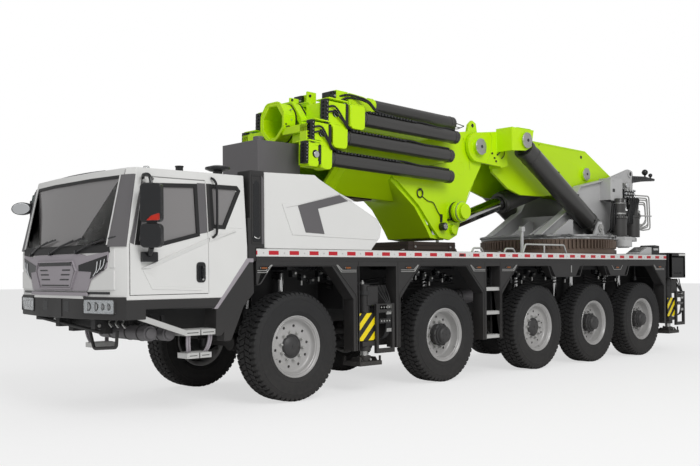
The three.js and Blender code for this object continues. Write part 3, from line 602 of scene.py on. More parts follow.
def drillHandHoles(bm, disc):
    mesh = bpy.data.meshes.new("rimDraft")
    bm.to_mesh(mesh)
    bm.free()
    cutters = bmesh.new()
    for turn in aroundAxle(wheel["boltCount"], 0.5):
        y, z = wheel["holeCircle"] * math.sin(turn), wheel["holeCircle"] * math.cos(turn)
        rodX(cutters, disc - 0.05, disc + 0.05, y, z, wheel["holeRadius"], 0, 12)
    cutMesh = bpy.data.meshes.new("rimCutters")
    cutters.to_mesh(cutMesh)
    cutters.free()
    draft, cutter = bpy.data.objects.new("rimDraft", mesh), bpy.data.objects.new("rimCutters",
        cutMesh)
    for piece in (draft, cutter):
        bpy.context.scene.collection.objects.link(piece)
    cut = draft.modifiers.new("holes", "BOOLEAN")
    cut.object = cutter
    cut.solver = "EXACT"
    shaped = draft.evaluated_get(bpy.context.evaluated_depsgraph_get()).to_mesh()
    result = bmesh.new()
    result.from_mesh(shaped)
    for piece in (draft, cutter):
        bpy.data.objects.remove(piece)
    return result


def addBolts(bm, circle, face, count, radius, reach, slot, offset=0.0):
    for turn in aroundAxle(count, offset):
        y, z = circle * math.sin(turn), circle * math.cos(turn)
        rodX(bm, face - 0.003, face + 0.008, y, z, radius * 1.35, slot, 12)
        rodX(bm, face + 0.004, face + reach * 0.7, y, z, radius, slot, 6)
        rodX(bm, face + 0.004, face + reach, y, z, radius * 0.5, slot, 8)


def addHub(bm, disc, planetary):
    if planetary:
        profile = [(0.0, 0.208), (0.045, 0.208), (0.06, 0.204), (0.095, 0.199), (0.108, 0.192),
            (0.118, 0.172), (0.121, 0.15), (0.132, 0.147), (0.136, 0.14), (0.136, 0.12),
            (0.15, 0.112), (0.16, 0.108), (0.162, 0.085), (0.146, 0.078), (0.148, disc - 0.01),
            (0.0, disc - 0.01)]
        addTurned(bm, profile, (0, 0, 0), 0, 40, closed=False)
        for turn in aroundAxle(10):
            y, z = 0.152 * math.sin(turn), 0.152 * math.cos(turn)
            rodX(bm, 0.105, 0.122, y, z, 0.011, 0, 6)
        for turn in aroundAxle(5, 0.3):
            y, z = 0.08 * math.sin(turn), 0.08 * math.cos(turn)
            rodX(bm, 0.198, 0.2085, y, z, 0.009, 0, 6)
        rodX(bm, 0.2, 0.2115, 0, 0, 0.016, 0, 6)
    else:
        profile = [(0.0, 0.111), (0.03, 0.11), (0.065, 0.104), (0.095, 0.094), (0.114, 0.08),
                   (0.124, disc + 0.012), (0.128, disc + 0.004), (0.148, disc + 0.004),
                   (0.148, disc - 0.01), (0.0, disc - 0.01)]
        addTurned(bm, profile, (0, 0, 0), 0, 40, closed=False)
        rodX(bm, 0.105, 0.1155, 0, 0, 0.021, 0, 24)


# One pattern wheel of each kind is made and then copied to the ten places.
def patternMeshes():
    patterns = {}
    bm = bmesh.new()
    addTyre(bm)
    patterns["tyre"] = keepPattern("tyrePattern", bm)
    for kind, disc, planetary in (("plain", 0.062, False), ("planetary", 0.012, True)):
        bm = bmesh.new()
        addRim(bm, disc)
        bm = drillHandHoles(bm, disc)
        addBolts(bm, 0.172 if not planetary else 0.19, disc + 0.006, wheel["boltCount"], 0.017,
            0.045, 1)
        addRod(bm, (0.11, 0.0, 0.3), (0.15, 0.0, 0.318), 0.005, 1, 8)
        patterns[kind + "Rim"] = keepPattern(kind + "RimPattern", bm)
        bm = bmesh.new()
        addHub(bm, disc, planetary)
        rodX(bm, disc - 0.034, disc - 0.015, 0, 0, 0.3, 0, 48)
        patterns[kind + "Hub"] = keepPattern(kind + "HubPattern", bm)
    return patterns


def keepPattern(name, bm):
    mesh = bpy.data.meshes.new(name)
    bm.to_mesh(mesh)
    bm.free()
    return mesh


def placedCopy(pattern, y, side, turn):
    bm = bmesh.new()
    bm.from_mesh(pattern)
    spinInto(bm, bm.verts, turn)
    bmesh.ops.translate(bm, vec=(wheel["trackHalf"], y, wheel["radius"]), verts=bm.verts)
    turnOver(bm, side)
    return bm


def makeWheels():
    patterns = patternMeshes()
    turns = random.Random(7)
    for i, y in enumerate(axleY, start=1):
        kind = "planetary" if i in planetaryAxles else "plain"
        for side in ("left", "right"):
            body = bodyOf(f"wheel_{i}_{side}")
            mark = f"{i}{side.title()}"
            turn = turns.uniform(0, math.tau)
            tyre = finishPiece("tyre" + mark, placedCopy(patterns["tyre"], y, side, turn),
                               [tyreRubber], body, angle=28)
            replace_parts(tyre, f"wheel_{i}_{side}")
            finishPiece("rim" + mark, placedCopy(patterns[kind + "Rim"], y, side, turn),
                        [wheelEnamel, zincSteel], body, angle=38)
            finishPiece("hub" + mark, placedCopy(patterns[kind + "Hub"], y, side, turn),
                        [castIron], body, angle=38)
    for mesh in patterns.values():
        bpy.data.meshes.remove(mesh)


makeWheels()
print("stage: wheels fitted")

# cab front and sides: panels that lie on the cab's slanting faces

cab = {
    "belt": 1.86,
    "roof": 2.69,
    "half": 1.25,
    "roofHalf": 1.185,
    "cornerWidth": 0.11,
    "centreHalf": 0.45,
    "bendHalf": 1.14,
    "front": [(-2.5, -2.285), (-2.4, -2.225), (-2.32, -2.17)],
}


def blendedBy(low, high, share):
    return low + (high - low) * share


# How far forward the cab's front lies at a place across and up.
def cabFrontY(x, z):
    rise = min(max((z - cab["belt"]) / (cab["roof"] - cab["belt"]), 0.0), 1.0)
    half = blendedBy(cab["half"], cab["roofHalf"], rise)
    centre, shoulder, corner = (blendedBy(low, high, rise) for low, high in cab["front"])
    x = abs(x)
    if x < cab["centreHalf"]:
        return centre
    if x < half - cab["cornerWidth"]:
        return blendedBy(centre, shoulder,
            (x - cab["centreHalf"]) / (half - cab["cornerWidth"] - cab["centreHalf"]))
    return blendedBy(shoulder, corner, (x - half + cab["cornerWidth"]) / cab["cornerWidth"])


def bumperFrontY(x, z):
    x = abs(x)
    first, second = bumper["bends"]
    centre, shoulder, corner = bumper["front"]
    if x < first:
        return centre
    if x < second:
        return blendedBy(centre, shoulder, (x - first) / 0.69)
    return blendedBy(shoulder, corner, (x - second) / 0.11)


def cabSideX(z):
    rise = min(max((z - cab["belt"]) / (cab["roof"] - cab["belt"]), 0.0), 1.0)
    return blendedBy(cab["half"], cab["roofHalf"], rise)


def cutVerts(geom):
    return list(dict.fromkeys(v for v in geom if isinstance(v, bmesh.types.BMVert) and v.is_valid))


# A panel of (x, z) corners laid on the front, standing out by one distance and sunk by another.
def addFrontPanel(bm, outline, out=0.006, sunk=0.01, slot=0, surface=cabFrontY):
    verts = addFrontPlate(bm, outline, -out, sunk, slot)
    for x in (-cab["bendHalf"], -cab["centreHalf"], cab["centreHalf"], cab["bendHalf"]):
        geom = panelGeometry(verts)
        made = bmesh.ops.bisect_plane(bm, geom=geom, plane_co=(x, 0, 0), plane_no=(1, 0, 0),
            dist=0.0001)
        verts = cutVerts(geom + made["geom_cut"])
    for v in verts:
        v.co.y += surface(v.co.x, v.co.z)
    return verts


def panelGeometry(verts):
    return verts + edgesOf(verts) + facesOf(verts)


def addSidePanel(bm, outline, out=0.006, sunk=0.01, slot=0):
    verts = addSidePlate(bm, outline, out, -sunk, slot)
    geom = panelGeometry(verts)
    made = bmesh.ops.bisect_plane(bm, geom=geom, plane_co=(0, 0, cab["belt"]), plane_no=(0, 0, 1),
        dist=0.0001)
    verts = cutVerts(geom + made["geom_cut"])
    for v in verts:
        v.co.x += cabSideX(v.co.z)
    return verts


def bothWays(outline):
    return [(-x, z) for x, z in reversed(outline)]


# An outline of the left side, or its mirror image for the right.
def onSide(side, outline):
    return outline if side > 0 else bothWays(outline)


# A rim of even width round an outline, as separate strips between it and a smaller copy.
def ringStrips(outline, width):
    middleA = sum(p[0] for p in outline) / len(outline)
    middleB = sum(p[1] for p in outline) / len(outline)
    inner = []
    count = len(outline)
    for i, (a, b) in enumerate(outline):
        before, after = Vector(outline[i - 1]), Vector(outline[(i + 1) % count])
        here = Vector((a, b))
        first, second = (here - before).normalized(), (after - here).normalized()
        normal = Vector((-first.y - second.y, first.x + second.x)).normalized()
        if normal.dot(Vector((middleA, middleB)) - here) < 0:
            normal.negate()
        spread = max(0.35, abs(normal.dot(Vector((-first.y, first.x)))))
        inner.append(tuple(here + normal * width / spread))
    return [[outline[i], outline[(i + 1) % count], inner[(i + 1) % count],
        inner[i]] for i in range(count)]


def addRing(add, bm, outline, width, *rest):
    for strip in ringStrips(outline, width):
        add(bm, strip, *rest)


grille = {
    "badge": [(-0.4, 1.69), (0.4, 1.69), (0.46, 1.6), (0.36, 1.425), (-0.36, 1.425), (-0.46, 1.6)],
    "intake": [(0.53, 1.665), (1.03, 1.765), (1.02, 1.69), (0.965, 1.61), (0.73, 1.515),
        (0.76, 1.59), (0.53, 1.6)],
    "cheek": [(0.7, 1.39), (1.135, 1.4), (1.135, 1.6), (0.985, 1.6), (0.76, 1.495)],
    "cheekLip": [(1.045, 1.63), (1.135, 1.63), (1.135, 1.83), (1.075, 1.815)],
    "slotRows": [(1.612, 0.18, 0.37), (1.562, 0.15, 0.355), (1.508, 0.12, 0.335)],
}


def makeGrille():
    bm = bmesh.new()
    symmetrical = [(x, z) for x, z in [(0.0, 1.785), (0.56, 1.785), (0.66, 1.762), (1.045, 1.8),
        (1.005, 1.63), (0.735, 1.505), (0.67, 1.385), (-0.67, 1.385), (-0.735, 1.505),
        (-1.005, 1.63), (-1.045, 1.8), (-0.66, 1.762), (-0.56, 1.785)]]
    addFrontPanel(bm, symmetrical, 0.014, 0.01)
    addFrontPanel(bm, grille["badge"], 0.026, 0.0)
    addRing(addFrontPanel, bm, [(-0.44, 1.715), (0.44, 1.715), (0.505, 1.6), (0.395, 1.405),
        (-0.395, 1.405), (-0.505, 1.6)], 0.016, 0.034, 0.0)
    carrierPiece("grillePanel", bm, [greyMoulding], 0.004)
    bm = bmesh.new()
    for outline in (grille["intake"], bothWays(grille["intake"])):
        addFrontPanel(bm, outline, 0.018, 0.0)
    addFrontPanel(bm, [(-0.375, 1.705), (0.375, 1.705), (0.41, 1.66), (-0.41, 1.66)], 0.03, 0.0)
    for z, inner, outer in grille["slotRows"]:
        for side in (1, -1):
            corners = [(side * inner, z - 0.007), (side * outer, z - 0.007),
                       (side * (outer + 0.01), z + 0.009), (side * (inner + 0.01), z + 0.009)]
            addFrontPanel(bm, corners, 0.0285, 0.0)
    addFrontPanel(bm, [(-0.335, 1.437), (0.335, 1.437), (0.345, 1.452), (-0.345, 1.452)], 0.0285,
        0.0)
    addFrontPanel(bm, oblong(-1.05, 1.05, 1.352, 1.378), 0.006, 0.0)
    carrierPiece("grilleOpenings", bm, [blackMoulding], 0.0015)
    bm = bmesh.new()
    for side in (1, -1):
        for k in range(3):
            x = 0.8 + 0.062 * k
            points = [(x, 1.545 + 0.035 * k), (x + 0.055, 1.6 + 0.028 * k),
                (x + 0.075, 1.7 + 0.012 * k)]
            path = [(side * px, cabFrontY(px, pz) - 0.024, pz) for px, pz in points]
            bentTube(bm, path, 0.02, 0.0055, 0, 6)
    carrierPiece("intakeStrips", bm, [silveredGlass])
    bm = bmesh.new()
    for side in (1, -1):
        addFrontPanel(bm, onSide(side, grille["cheek"]), 0.012, 0.01)
        addFrontPanel(bm, onSide(side, grille["cheekLip"]), 0.008, 0.01)
    addFrontPanel(bm, [(-0.62, 1.3), (0.62, 1.3), (0.6, 1.345), (-0.6, 1.345)], 0.02, 0.0)
    carrierPiece("cowlCheeks", bm, [whiteEnamel], 0.008, 3)


makeGrille()

def makeScreenTrim():
    bm = bmesh.new()
    addFrontPanel(bm, oblong(-1.008, 1.008, 1.85, 2.605), -0.01, 0.022)
    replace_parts(carrierPiece("windscreen", bm, [tintedGlass]), "windscreen")
    bm = bmesh.new()
    outline = oblong(-1.025, 1.025, 1.845, 2.615)
    addRing(addFrontPanel, bm, outline, 0.034, 0.005, 0.004)
    addFrontPanel(bm, [(-1.06, 1.79), (1.06, 1.79), (1.045, 1.862), (-1.045, 1.862)], 0.009, 0.004)
    carrierPiece("screenSeal", bm, [sealRubber], 0.003)
    bm = bmesh.new()
    for side in (1, -1):
        pillar = [(1.03, 1.85), (cab["half"] - 0.004, 1.85), (cab["roofHalf"] + 0.006, 2.615),
            (1.03, 2.615)]
        addFrontPanel(bm, onSide(side, pillar), 0.018, 0.004)
        addFrontPanel(bm, onSide(side, oblong(1.008, 1.023, 1.87, 2.615)), 0.02, 0.002, 1)
    carrierPiece("pillarTrim", bm, [graphitePaint, whiteEnamel], 0.003)
    bm = bmesh.new()
    for pivot, tip in (((-0.72, 1.8), (-0.22, 1.935)), ((-0.12, 1.8), (0.42, 1.935)),
            ((0.5, 1.805), (0.98, 1.93))):
        start = Vector((pivot[0], cabFrontY(*pivot) - 0.03, pivot[1]))
        end = Vector((tip[0], cabFrontY(*tip) - 0.03, tip[1]))
        addRod(bm, start + Vector((0, 0.03, 0)), start - Vector((0, 0.012, 0)), 0.022, 0, 16)
        addTube(bm, [start, start.lerp(end, 0.5) + Vector((0, -0.012, 0.01)), end], 0.009)
        bladeLow = Vector((tip[0] - 0.26, cabFrontY(tip[0] - 0.26, 1.885) - 0.013, 1.885))
        bladeHigh = Vector((tip[0] + 0.16, cabFrontY(tip[0] + 0.16, 1.955) - 0.013, 1.955))
        addTube(bm, [bladeLow, bladeHigh], 0.009, 0, 6)
        addTube(bm, [bladeLow + Vector((0.05, -0.008, 0.0)), bladeHigh - Vector((0.05, 0.008, 0))],
            0.006, 0, 6)
    carrierPiece("wipers", bm, [blackMoulding])


makeScreenTrim()

sideGlass = {
    "door": [(-2.215, 1.88), (-2.085, 2.51), (-1.44, 2.54), (-1.44, 1.985), (-1.9, 1.88)],
    "quarter": [(-1.25, 2.09), (-1.25, 2.54), (-0.9, 2.54), (-0.86, 2.49), (-1.075, 2.09)],
}


def makeSideGlass():
    for side in ("left", "right"):
        bm = bmesh.new()
        addSidePanel(bm, sideGlass["door"], -0.014, 0.02)
        finishDoorPiece("doorPane", side, bm, [tintedGlass])
        bm = bmesh.new()
        addRing(addSidePanel, bm, grown(sideGlass["door"], 0.022), 0.042, 0.006, 0.016)
        addSidePanel(bm, [(-1.425, 2.0), (-1.318, 2.018), (-1.318, 2.565), (-1.425, 2.565)], 0.005,
            0.01, 1)
        addSidePanel(bm, [(-2.283, 1.89), (-2.243, 1.87), (-2.105, 2.53), (-2.105, 2.565)], 0.005,
            0.004, 1)
        finishDoorPiece("doorPaneSeal", side, bm, [sealRubber, graphitePaint], 0.003)
    bm = bmesh.new()
    addSidePanel(bm, [(-1.25, 2.09), (-1.25, 2.54), (-0.9, 2.54), (-0.86, 2.09)], -0.014, 0.02)
    carrierPair("quarterPanes", bm, [tintedGlass])
    bm = bmesh.new()
    addRing(addSidePanel, bm, grown(sideGlass["quarter"], 0.03), 0.045, 0.006, 0.016)
    # the painted infill that gives the quarter window its slanting rear edge
    addSidePanel(bm, [(-1.303, 2.025), (-1.235, 2.05), (-1.235, 2.565), (-1.303, 2.565)], 0.005,
        0.01, 1)
    addSidePanel(bm, [(-1.072, 2.075), (-0.855, 2.475), (-0.835, 2.475), (-0.835, 2.075)], 0.003,
        0.012, 2)
    carrierPair("quarterTrim", bm, [sealRubber, darkAcrylic, whiteEnamel], 0.002)


def grown(outline, distance):
    middle = Vector((sum(p[0] for p in outline), sum(p[1] for p in outline))) / len(outline)
    return [tuple(Vector(p) + (Vector(p) - middle).normalized() * distance) for p in outline]


makeSideGlass()

doorTrim = {
    "crease": [(-2.16, 1.622), (-1.33, 1.951), (-1.33, 1.9), (-2.05, 1.618)],
    "rearCrease": [(-1.3, 1.96), (-0.93, 2.045), (-1.3, 1.908)],
    "lowPanel": [(-2.14, 1.6), (-2.03, 1.4), (-1.4, 1.375), (-1.4, 1.41), (-1.96, 1.43),
        (-2.02, 1.55)],
    "handle": (-1.475, -1.355, 1.465, 1.69),
}


# Pushes a panel's upper edge outwards, so that its face looks a little downwards.
def leanOut(verts, outline):
    (y0, z0), (y1, z1) = outline[0], outline[1]
    for v in verts:
        upper = z0 + (z1 - z0) * (v.co.y - y0) / (y1 - y0)
        if v.co.x > cabSideX(v.co.z) and v.co.z > upper - 0.004:
            v.co.x += 0.018


def makeDoorTrim():
    for side in ("left", "right"):
        bm = bmesh.new()
        leanOut(addSidePanel(bm, doorTrim["crease"], 0.004, 0.004), doorTrim["crease"])
        addSidePanel(bm, doorTrim["lowPanel"], 0.006, 0.004)
        finishDoorPiece("doorCreases", side, bm, [whiteEnamel], 0.004, 3)
        bm = bmesh.new()
        y0, y1, z0, z1 = doorTrim["handle"]
        rounded = roundedOutline(oblong(y0, y1, z0, z1), 0.045)
        addSidePanel(bm, rounded, 0.008, 0.004)
        inner = roundedOutline(oblong(y0 + 0.03, y1 - 0.025, z0 + 0.03, z1 - 0.03), 0.03)
        addRing(addSidePanel, bm, inner, 0.012, 0.018, 0.0)
        bentTube(bm, [(1.258, y1 - 0.045, z0 + 0.045), (1.285, y1 - 0.045, z0 + 0.06),
            (1.285, y1 - 0.045, z1 - 0.06), (1.258, y1 - 0.045, z1 - 0.045)], 0.015, 0.011)
        rodX(bm, 1.255, 1.272, y1 - 0.04, z0 + 0.035, 0.012, 1, 12)
        addSidePanel(bm, oblong(-2.166, -1.985, 1.692, 1.795), 0.045, 0.0)
        finishDoorPiece("doorHandle", side, bm, [blackMoulding, zincSteel], 0.004)


def makeRearCrease():
    bm = bmesh.new()
    leanOut(addSidePanel(bm, doorTrim["rearCrease"], 0.004, 0.004), doorTrim["rearCrease"])
    carrierPair("rearCreases", bm, [whiteEnamel], 0.003, 2)


def roundedOutline(corners, radius, steps=4):
    count = len(corners)
    outline = []
    for i, corner in enumerate(corners):
        here = Vector(corner)
        start = here + (Vector(corners[i - 1]) - here).normalized() * radius
        end = here + (Vector(corners[(i + 1) % count]) - here).normalized() * radius
        for k in range(steps + 1):
            t = k / steps
            outline.append(tuple(start * (1 - t) ** 2 + here * 2 * t * (1 - t) + end * t * t))
    return outline


makeDoorTrim()
makeRearCrease()


mirror = {
    "heads": [(2.1, 2.5, 0.045), (1.835, 2.085, 0.06)],
    "halfWidth": 0.118,
    "centre": (1.415, -2.125),
    "turn": 33.0,
}


def turnMirror(bm):
    x, y = mirror["centre"]
    bmesh.ops.rotate(bm, cent=(x, y, 0), matrix=Matrix.Rotation(math.radians(mirror["turn"]), 3,
        "Z"), verts=bm.verts)


# Two mirror heads on one stalk, turned a little towards the driver.
def makeMirrors():
    x, y = mirror["centre"]
    half = mirror["halfWidth"]
    for side in ("left", "right"):
        bm = bmesh.new()
        for low, high, radius in mirror["heads"]:
            shell = roundedOutline(oblong(x - half, x + half, low, high), radius, 5)
            addFrontPlate(bm, shell, y - 0.045, y + 0.04)
            glass = roundedOutline(oblong(x - half + 0.014, x + half - 0.014, low + 0.014,
                high - 0.014), radius, 5)
            addFrontPlate(bm, glass, y + 0.038, y + 0.044, 2)
        addPlate(bm, [(x + 0.108, y - 0.046, 2.115), (x + 0.108, y - 0.046, 2.19),
            (x + 0.02, y - 0.046, 2.165), (x - 0.04, y - 0.046, 2.115)], (0, -0.004, 0), 1)
        addBox(bm, (x - 0.05, y - 0.03, 2.08), (x + 0.05, y + 0.03, 2.105))
        turnMirror(bm)
        softTube(bm, [(1.25, -2.08, 1.745), (1.33, -2.1, 1.78), (1.4, -2.12, 1.845)], 0.03, 0, 10)
        addSidePlate(bm, oblong(-2.165, -1.985, 1.69, 1.795), 1.24, 1.31)
        bentTube(bm, [(1.19, -2.09, 2.575), (1.26, -2.14, 2.605), (1.38, -2.13, 2.6),
            (1.41, -2.125, 2.49)], 0.05, 0.017, 0, 10)
        addTube(bm, [(1.2, -1.98, 2.575), (1.36, -2.1, 2.56)], 0.012)
        finishDoorPiece("mirrorHeads", side, bm, [blackMoulding, redLens, silveredGlass], 0.012, 3)


def makeGrabRails():
    bm = bmesh.new()
    path = [(1.2, -1.238, 2.632), (1.235, -1.215, 2.6), (1.262, -1.205, 2.5), (1.288, -1.222, 2.06),
        (1.283, -1.245, 1.985), (1.25, -1.262, 1.962)]
    softTube(bm, path, 0.014, 0, 10)
    carrierPair("grabRails", bm, [blackMoulding])


makeGrabRails()
makeMirrors()
print("stage: cab trimmed")

# deck edges, side panels and bays

sides = {
    "edgeFace": 1.25,
    "edgeFront": -0.65,
    "edgeRear": 9.085,
    "edgeLow": 1.757,
    "edgeHigh": 1.847,
    "lamps": [(-0.64, -0.41, 1), (0.6, 0.95, -1), (1.78, 2.14, 1), (3.24, 3.59, -1), (4.0, 4.38, 1),
              (8.6, 9.0, -1)],
    "lampHeight": 1.61,
}


def makeDeckEdges():
    bm = bmesh.new()
    face = sides["edgeFace"]
    addBox(bm, (face - 0.004, sides["edgeFront"], sides["edgeLow"]),
        (face + 0.006, sides["edgeRear"], sides["edgeHigh"]))
    addBox(bm, (face - 0.004, 9.6, 1.835), (face + 0.004, 9.855, 1.875))
    for k in range(31):
        y = sides["edgeFront"] + 0.1 + 0.315 * k
        rodX(bm, face + 0.004, face + 0.0095, y, 1.8, 0.0085, 1, 10)
    for y in (3.02, 3.05, 3.08):
        rodX(bm, face + 0.004, face + 0.016, y, 1.8, 0.014, 2, 10)
    carrierPair("edgeStrips", bm, [edgeSheeting, zincSteel, blackMoulding], 0.002)
    bm = bmesh.new()
    addBox(bm, (face - 0.006, sides["edgeFront"], 1.705), (face + 0.005, 9.03, 1.722))
    for y in (0.998, 1.732, 3.595, 3.965):
        addBox(bm, (face - 0.004, y - 0.006, 0.56), (face + 0.004, y + 0.006, 1.7))
    for y in (-0.36, 2.2, 4.42, 5.22, 7.72):
        addBox(bm, (face - 0.003, y - 0.0015, 1.722), (face + 0.0025, y + 0.0015, 1.755), 1)
    carrierPair("panelFolds", bm, [darkAcrylic, sealRubber], 0.0015)
    # folded lips along the wheel openings
    bm = bmesh.new()
    for path in sideLips():
        points = [(face + 0.001, y, z) for y, z in path]
        addTube(bm, roundedPath(points, 0.03, 3), 0.0085, 0, 6)
    carrierPair("openingLips", bm, [darkAcrylic])


def sideLips():
    return [[(-0.655, 1.43), (-0.6, 1.43), (-0.42, 1.66), (0.565, 1.66), (0.955, 1.27),
        (0.955, 0.56)], [(1.76, 0.56), (1.76, 1.27), (2.18, 1.66), (3.17, 1.66), (3.575, 1.27),
        (3.575, 0.56)], [(3.985, 0.56), (3.985, 1.27), (4.42, 1.66), (5.2, 1.66), (5.3, 1.47),
        (6.13, 1.47), (6.22, 1.66), (6.88, 1.66), (6.975, 1.475), (7.64, 1.475), (7.73, 1.66),
        (8.55, 1.66), (8.99, 1.27), (8.99, 0.56)], ]


makeDeckEdges()


# Small marker lamps, each with a bright bent strip under it.
def makeMarkerLamps():
    bm = bmesh.new()
    face = sides["edgeFace"]
    low = sides["lampHeight"] - 0.045
    for start, end, way in sides["lamps"]:
        near, far = (start, end) if way > 0 else (end, start)
        bend = far - way * 0.085
        for offset, height in ((0.0, 0.0), (0.014, 0.022)):
            strip = [(near, low + height), (bend - way * offset, low + height), (far - way * offset,
                low + 0.095), (far - way * (offset + 0.014), low + 0.095),
                (bend - way * (offset + 0.011), low + height + 0.009), (near, low + height + 0.009)]
            addSidePlate(bm, strip if way > 0 else strip[::-1], face + 0.001, face + 0.008)
        middle = blendedBy(near, far, 0.42)
        addLamp(bm, face, middle, sides["lampHeight"] + 0.012)
    strip = [(7.13, 1.655), (7.2, 1.575), (7.43, 1.575), (7.5, 1.655), (7.488, 1.655),
        (7.425, 1.585), (7.205, 1.585), (7.142, 1.655)]
    addSidePlate(bm, strip, face + 0.001, face + 0.008)
    addLamp(bm, face, 7.315, 1.615)
    addBox(bm, (face, 5.86, 1.535), (face + 0.006, 5.885, 1.65))
    carrierPair("markerLamps", bm, [zincSteel, amberLens, blackMoulding], 0.0015)


def addLamp(bm, face, y, z):
    outline = roundedOutline(oblong(y - 0.062, y + 0.062, z - 0.018, z + 0.018), 0.016)
    addSidePlate(bm, outline, face, face + 0.008, 2)
    lens = roundedOutline(oblong(y - 0.042, y + 0.042, z - 0.011, z + 0.011), 0.01)
    addSidePlate(bm, lens, face + 0.006, face + 0.016, 1)
    rodX(bm, face + 0.006, face + 0.012, y - 0.052, z, 0.006, 0, 8)


makeMarkerLamps()

outrigger = {
    "stations": [("front", 1.33), ("rear", 9.51)],
    "jackX": 1.11,
    "platePlane": 1.198,
    "plateHigh": 1.03,
    "plateLow": 0.675,
}


# Outrigger pieces are modelled on the left and turned half round for the right.
def finishOutriggerPiece(name, bm, end, y, side, materials, part, *rest):
    if side == "right":
        bmesh.ops.rotate(bm, cent=(0, y, 0), matrix=Matrix.Rotation(math.pi, 3, "Z"),
            verts=bm.verts)
    finishPiece(name + end.title() + side.title(), bm, materials, f"outrigger_{part}_{end}_{side}",
        *rest)


def makeOutriggerTrim():
    for end, y in outrigger["stations"]:
        for side in ("left", "right"):
            beamY = y + 0.165
            jackY = beamY - 0.275
            x = outrigger["jackX"]
            bm = bmesh.new()
            plane = outrigger["platePlane"]
            addBox(bm, (plane, jackY - 0.17, outrigger["plateLow"]), (plane + 0.004, jackY + 0.135,
                outrigger["plateHigh"]))
            finishOutriggerPiece("warningPlate", bm, end, y, side, [warningSheeting], "beam")
            bm = bmesh.new()
            for z in (0.72, 0.98):
                addBox(bm, (x + 0.06, jackY - 0.02, z - 0.02), (plane, jackY + 0.02, z + 0.02))
            addBox(bm, (x - 0.1, jackY - 0.115, 0.6), (x + 0.092, jackY + 0.105, 0.665))
            rodZ(bm, x, jackY, 0.535, 0.6, 0.088, 0, 24)
            rodZ(bm, x, jackY, 1.265, 1.32, 0.095, 0, 28)
            rodZ(bm, x, jackY, 1.32, 1.405, 0.074, 0, 24)
            rodZ(bm, x, jackY - 0.03, 1.405, 1.44, 0.028, 1, 16)
            rodZ(bm, x, jackY - 0.03, 1.44, 1.46, 0.017, 1, 6)
            frameX = 1.21
            for z in (1.1, 0.92):
                addBox(bm, (frameX - 0.05, beamY - 0.11, z - 0.03), (frameX + 0.03, beamY + 0.1,
                    z + 0.03))
                for k in range(4):
                    yk = beamY - 0.08 + 0.05 * k
                    rodX(bm, frameX + 0.02, frameX + 0.036, yk, z, 0.013, 1, 6)
            finishOutriggerPiece("outriggerEnd", bm, end, y, side, [framePaint, zincSteel], "beam",
                0.004)
            bm = bmesh.new()
            for k in range(4):
                top = (1.14 + 0.02 * k, beamY - 0.12 + 0.045 * k, 1.39)
                path = [top, (1.18, beamY - 0.04 + 0.05 * k, 1.26),
                    (1.225, beamY + 0.03 + 0.022 * k, 1.13), (1.228, beamY + 0.035 + 0.022 * k,
                    0.95), (1.215, beamY + 0.0 + 0.02 * k, 0.74), (1.15, beamY - 0.04, 0.67)]
                softTube(bm, path, 0.0105)
                for z in (1.11, 1.03, 0.8):
                    yk = beamY + 0.034 + 0.022 * k
                    rodZ(bm, 1.228, yk, z - 0.025, z + 0.02, 0.0135, 1, 8)
            finishOutriggerPiece("outriggerHoses", bm, end, y, side, [sealRubber, zincSteel],
                "beam")
            bm = bmesh.new()
            footLow, footHalf = 0.35, 0.2
            for dx, dy in ((-1, -1), (-1, 1), (0.6, -1), (0.6, 1)):
                addBox(bm, (x + dx * footHalf * 0.9 - 0.012, jackY + dy * footHalf * 0.9 - 0.012,
                    footLow + 0.05), (x + dx * footHalf * 0.9 + 0.012,
                    jackY + dy * footHalf * 0.9 + 0.012, footLow + 0.12))
            for dy in (-0.13, 0.13):
                addPlate(bm, [(x - 0.16, jackY + dy, 0.4), (x + 0.11, jackY + dy, 0.4),
                    (x + 0.07, jackY + dy, 0.455), (x - 0.09, jackY + dy, 0.455)], (0, 0.014, 0))
            rodZ(bm, x, jackY, 0.4, 0.47, 0.088, 0, 24)
            rodX(bm, x + 0.085, x + 0.125, jackY, 0.43, 0.016, 1, 12)
            finishOutriggerPiece("jackFoot", bm, end, y, side, [framePaint, zincSteel], "jack",
                0.004)


makeOutriggerTrim()


# Handrails and low loops along the deck's edge.
def makeDeckRails():
    bm = bmesh.new()
    x = 1.16
    bentTube(bm, [(x, 4.66, 1.85), (x, 4.73, 1.985), (x, 5.8, 1.985), (x, 5.87, 1.85)], 0.03, 0.015,
        0, 10)
    addTube(bm, [(x, 5.24, 1.85), (x, 5.24, 1.985)], 0.012)
    for start, end in ((3.4, 3.66), (4.18, 4.45)):
        bentTube(bm, [(x, start, 1.85), (x, start + 0.04, 1.91), (x, end - 0.04, 1.91),
            (x, end, 1.85)], 0.03, 0.015, 0, 10)
    carrierPair("deckRails", bm, [anodisedAluminium])
    bm = bmesh.new()
    for z in (0.59, 0.943, 1.296):
        for k in range(6):
            addBox(bm, (1.1 + 0.024 * k, 3.63, z + 0.026), (1.108 + 0.024 * k, 3.93, z + 0.031))
    for low, high in (((1.07, 3.605, 0.56), (1.1, 3.625, 1.74)), ((1.07, 3.935, 0.56),
            (1.1, 3.955, 1.74))):
        addBox(bm, low, high, 1)
    carrierPair("ladderRidges", bm, [anodisedAluminium, framePaint])


makeDeckRails()

hood = {
    "face": 1.24,
    "columnFace": 1.2495,
    "chevron": [(-0.007, 2.376), (0.675, 2.537), (0.827, 2.47), (0.313, 2.351), (0.419, 2.043),
        (0.115, 2.055)],
}


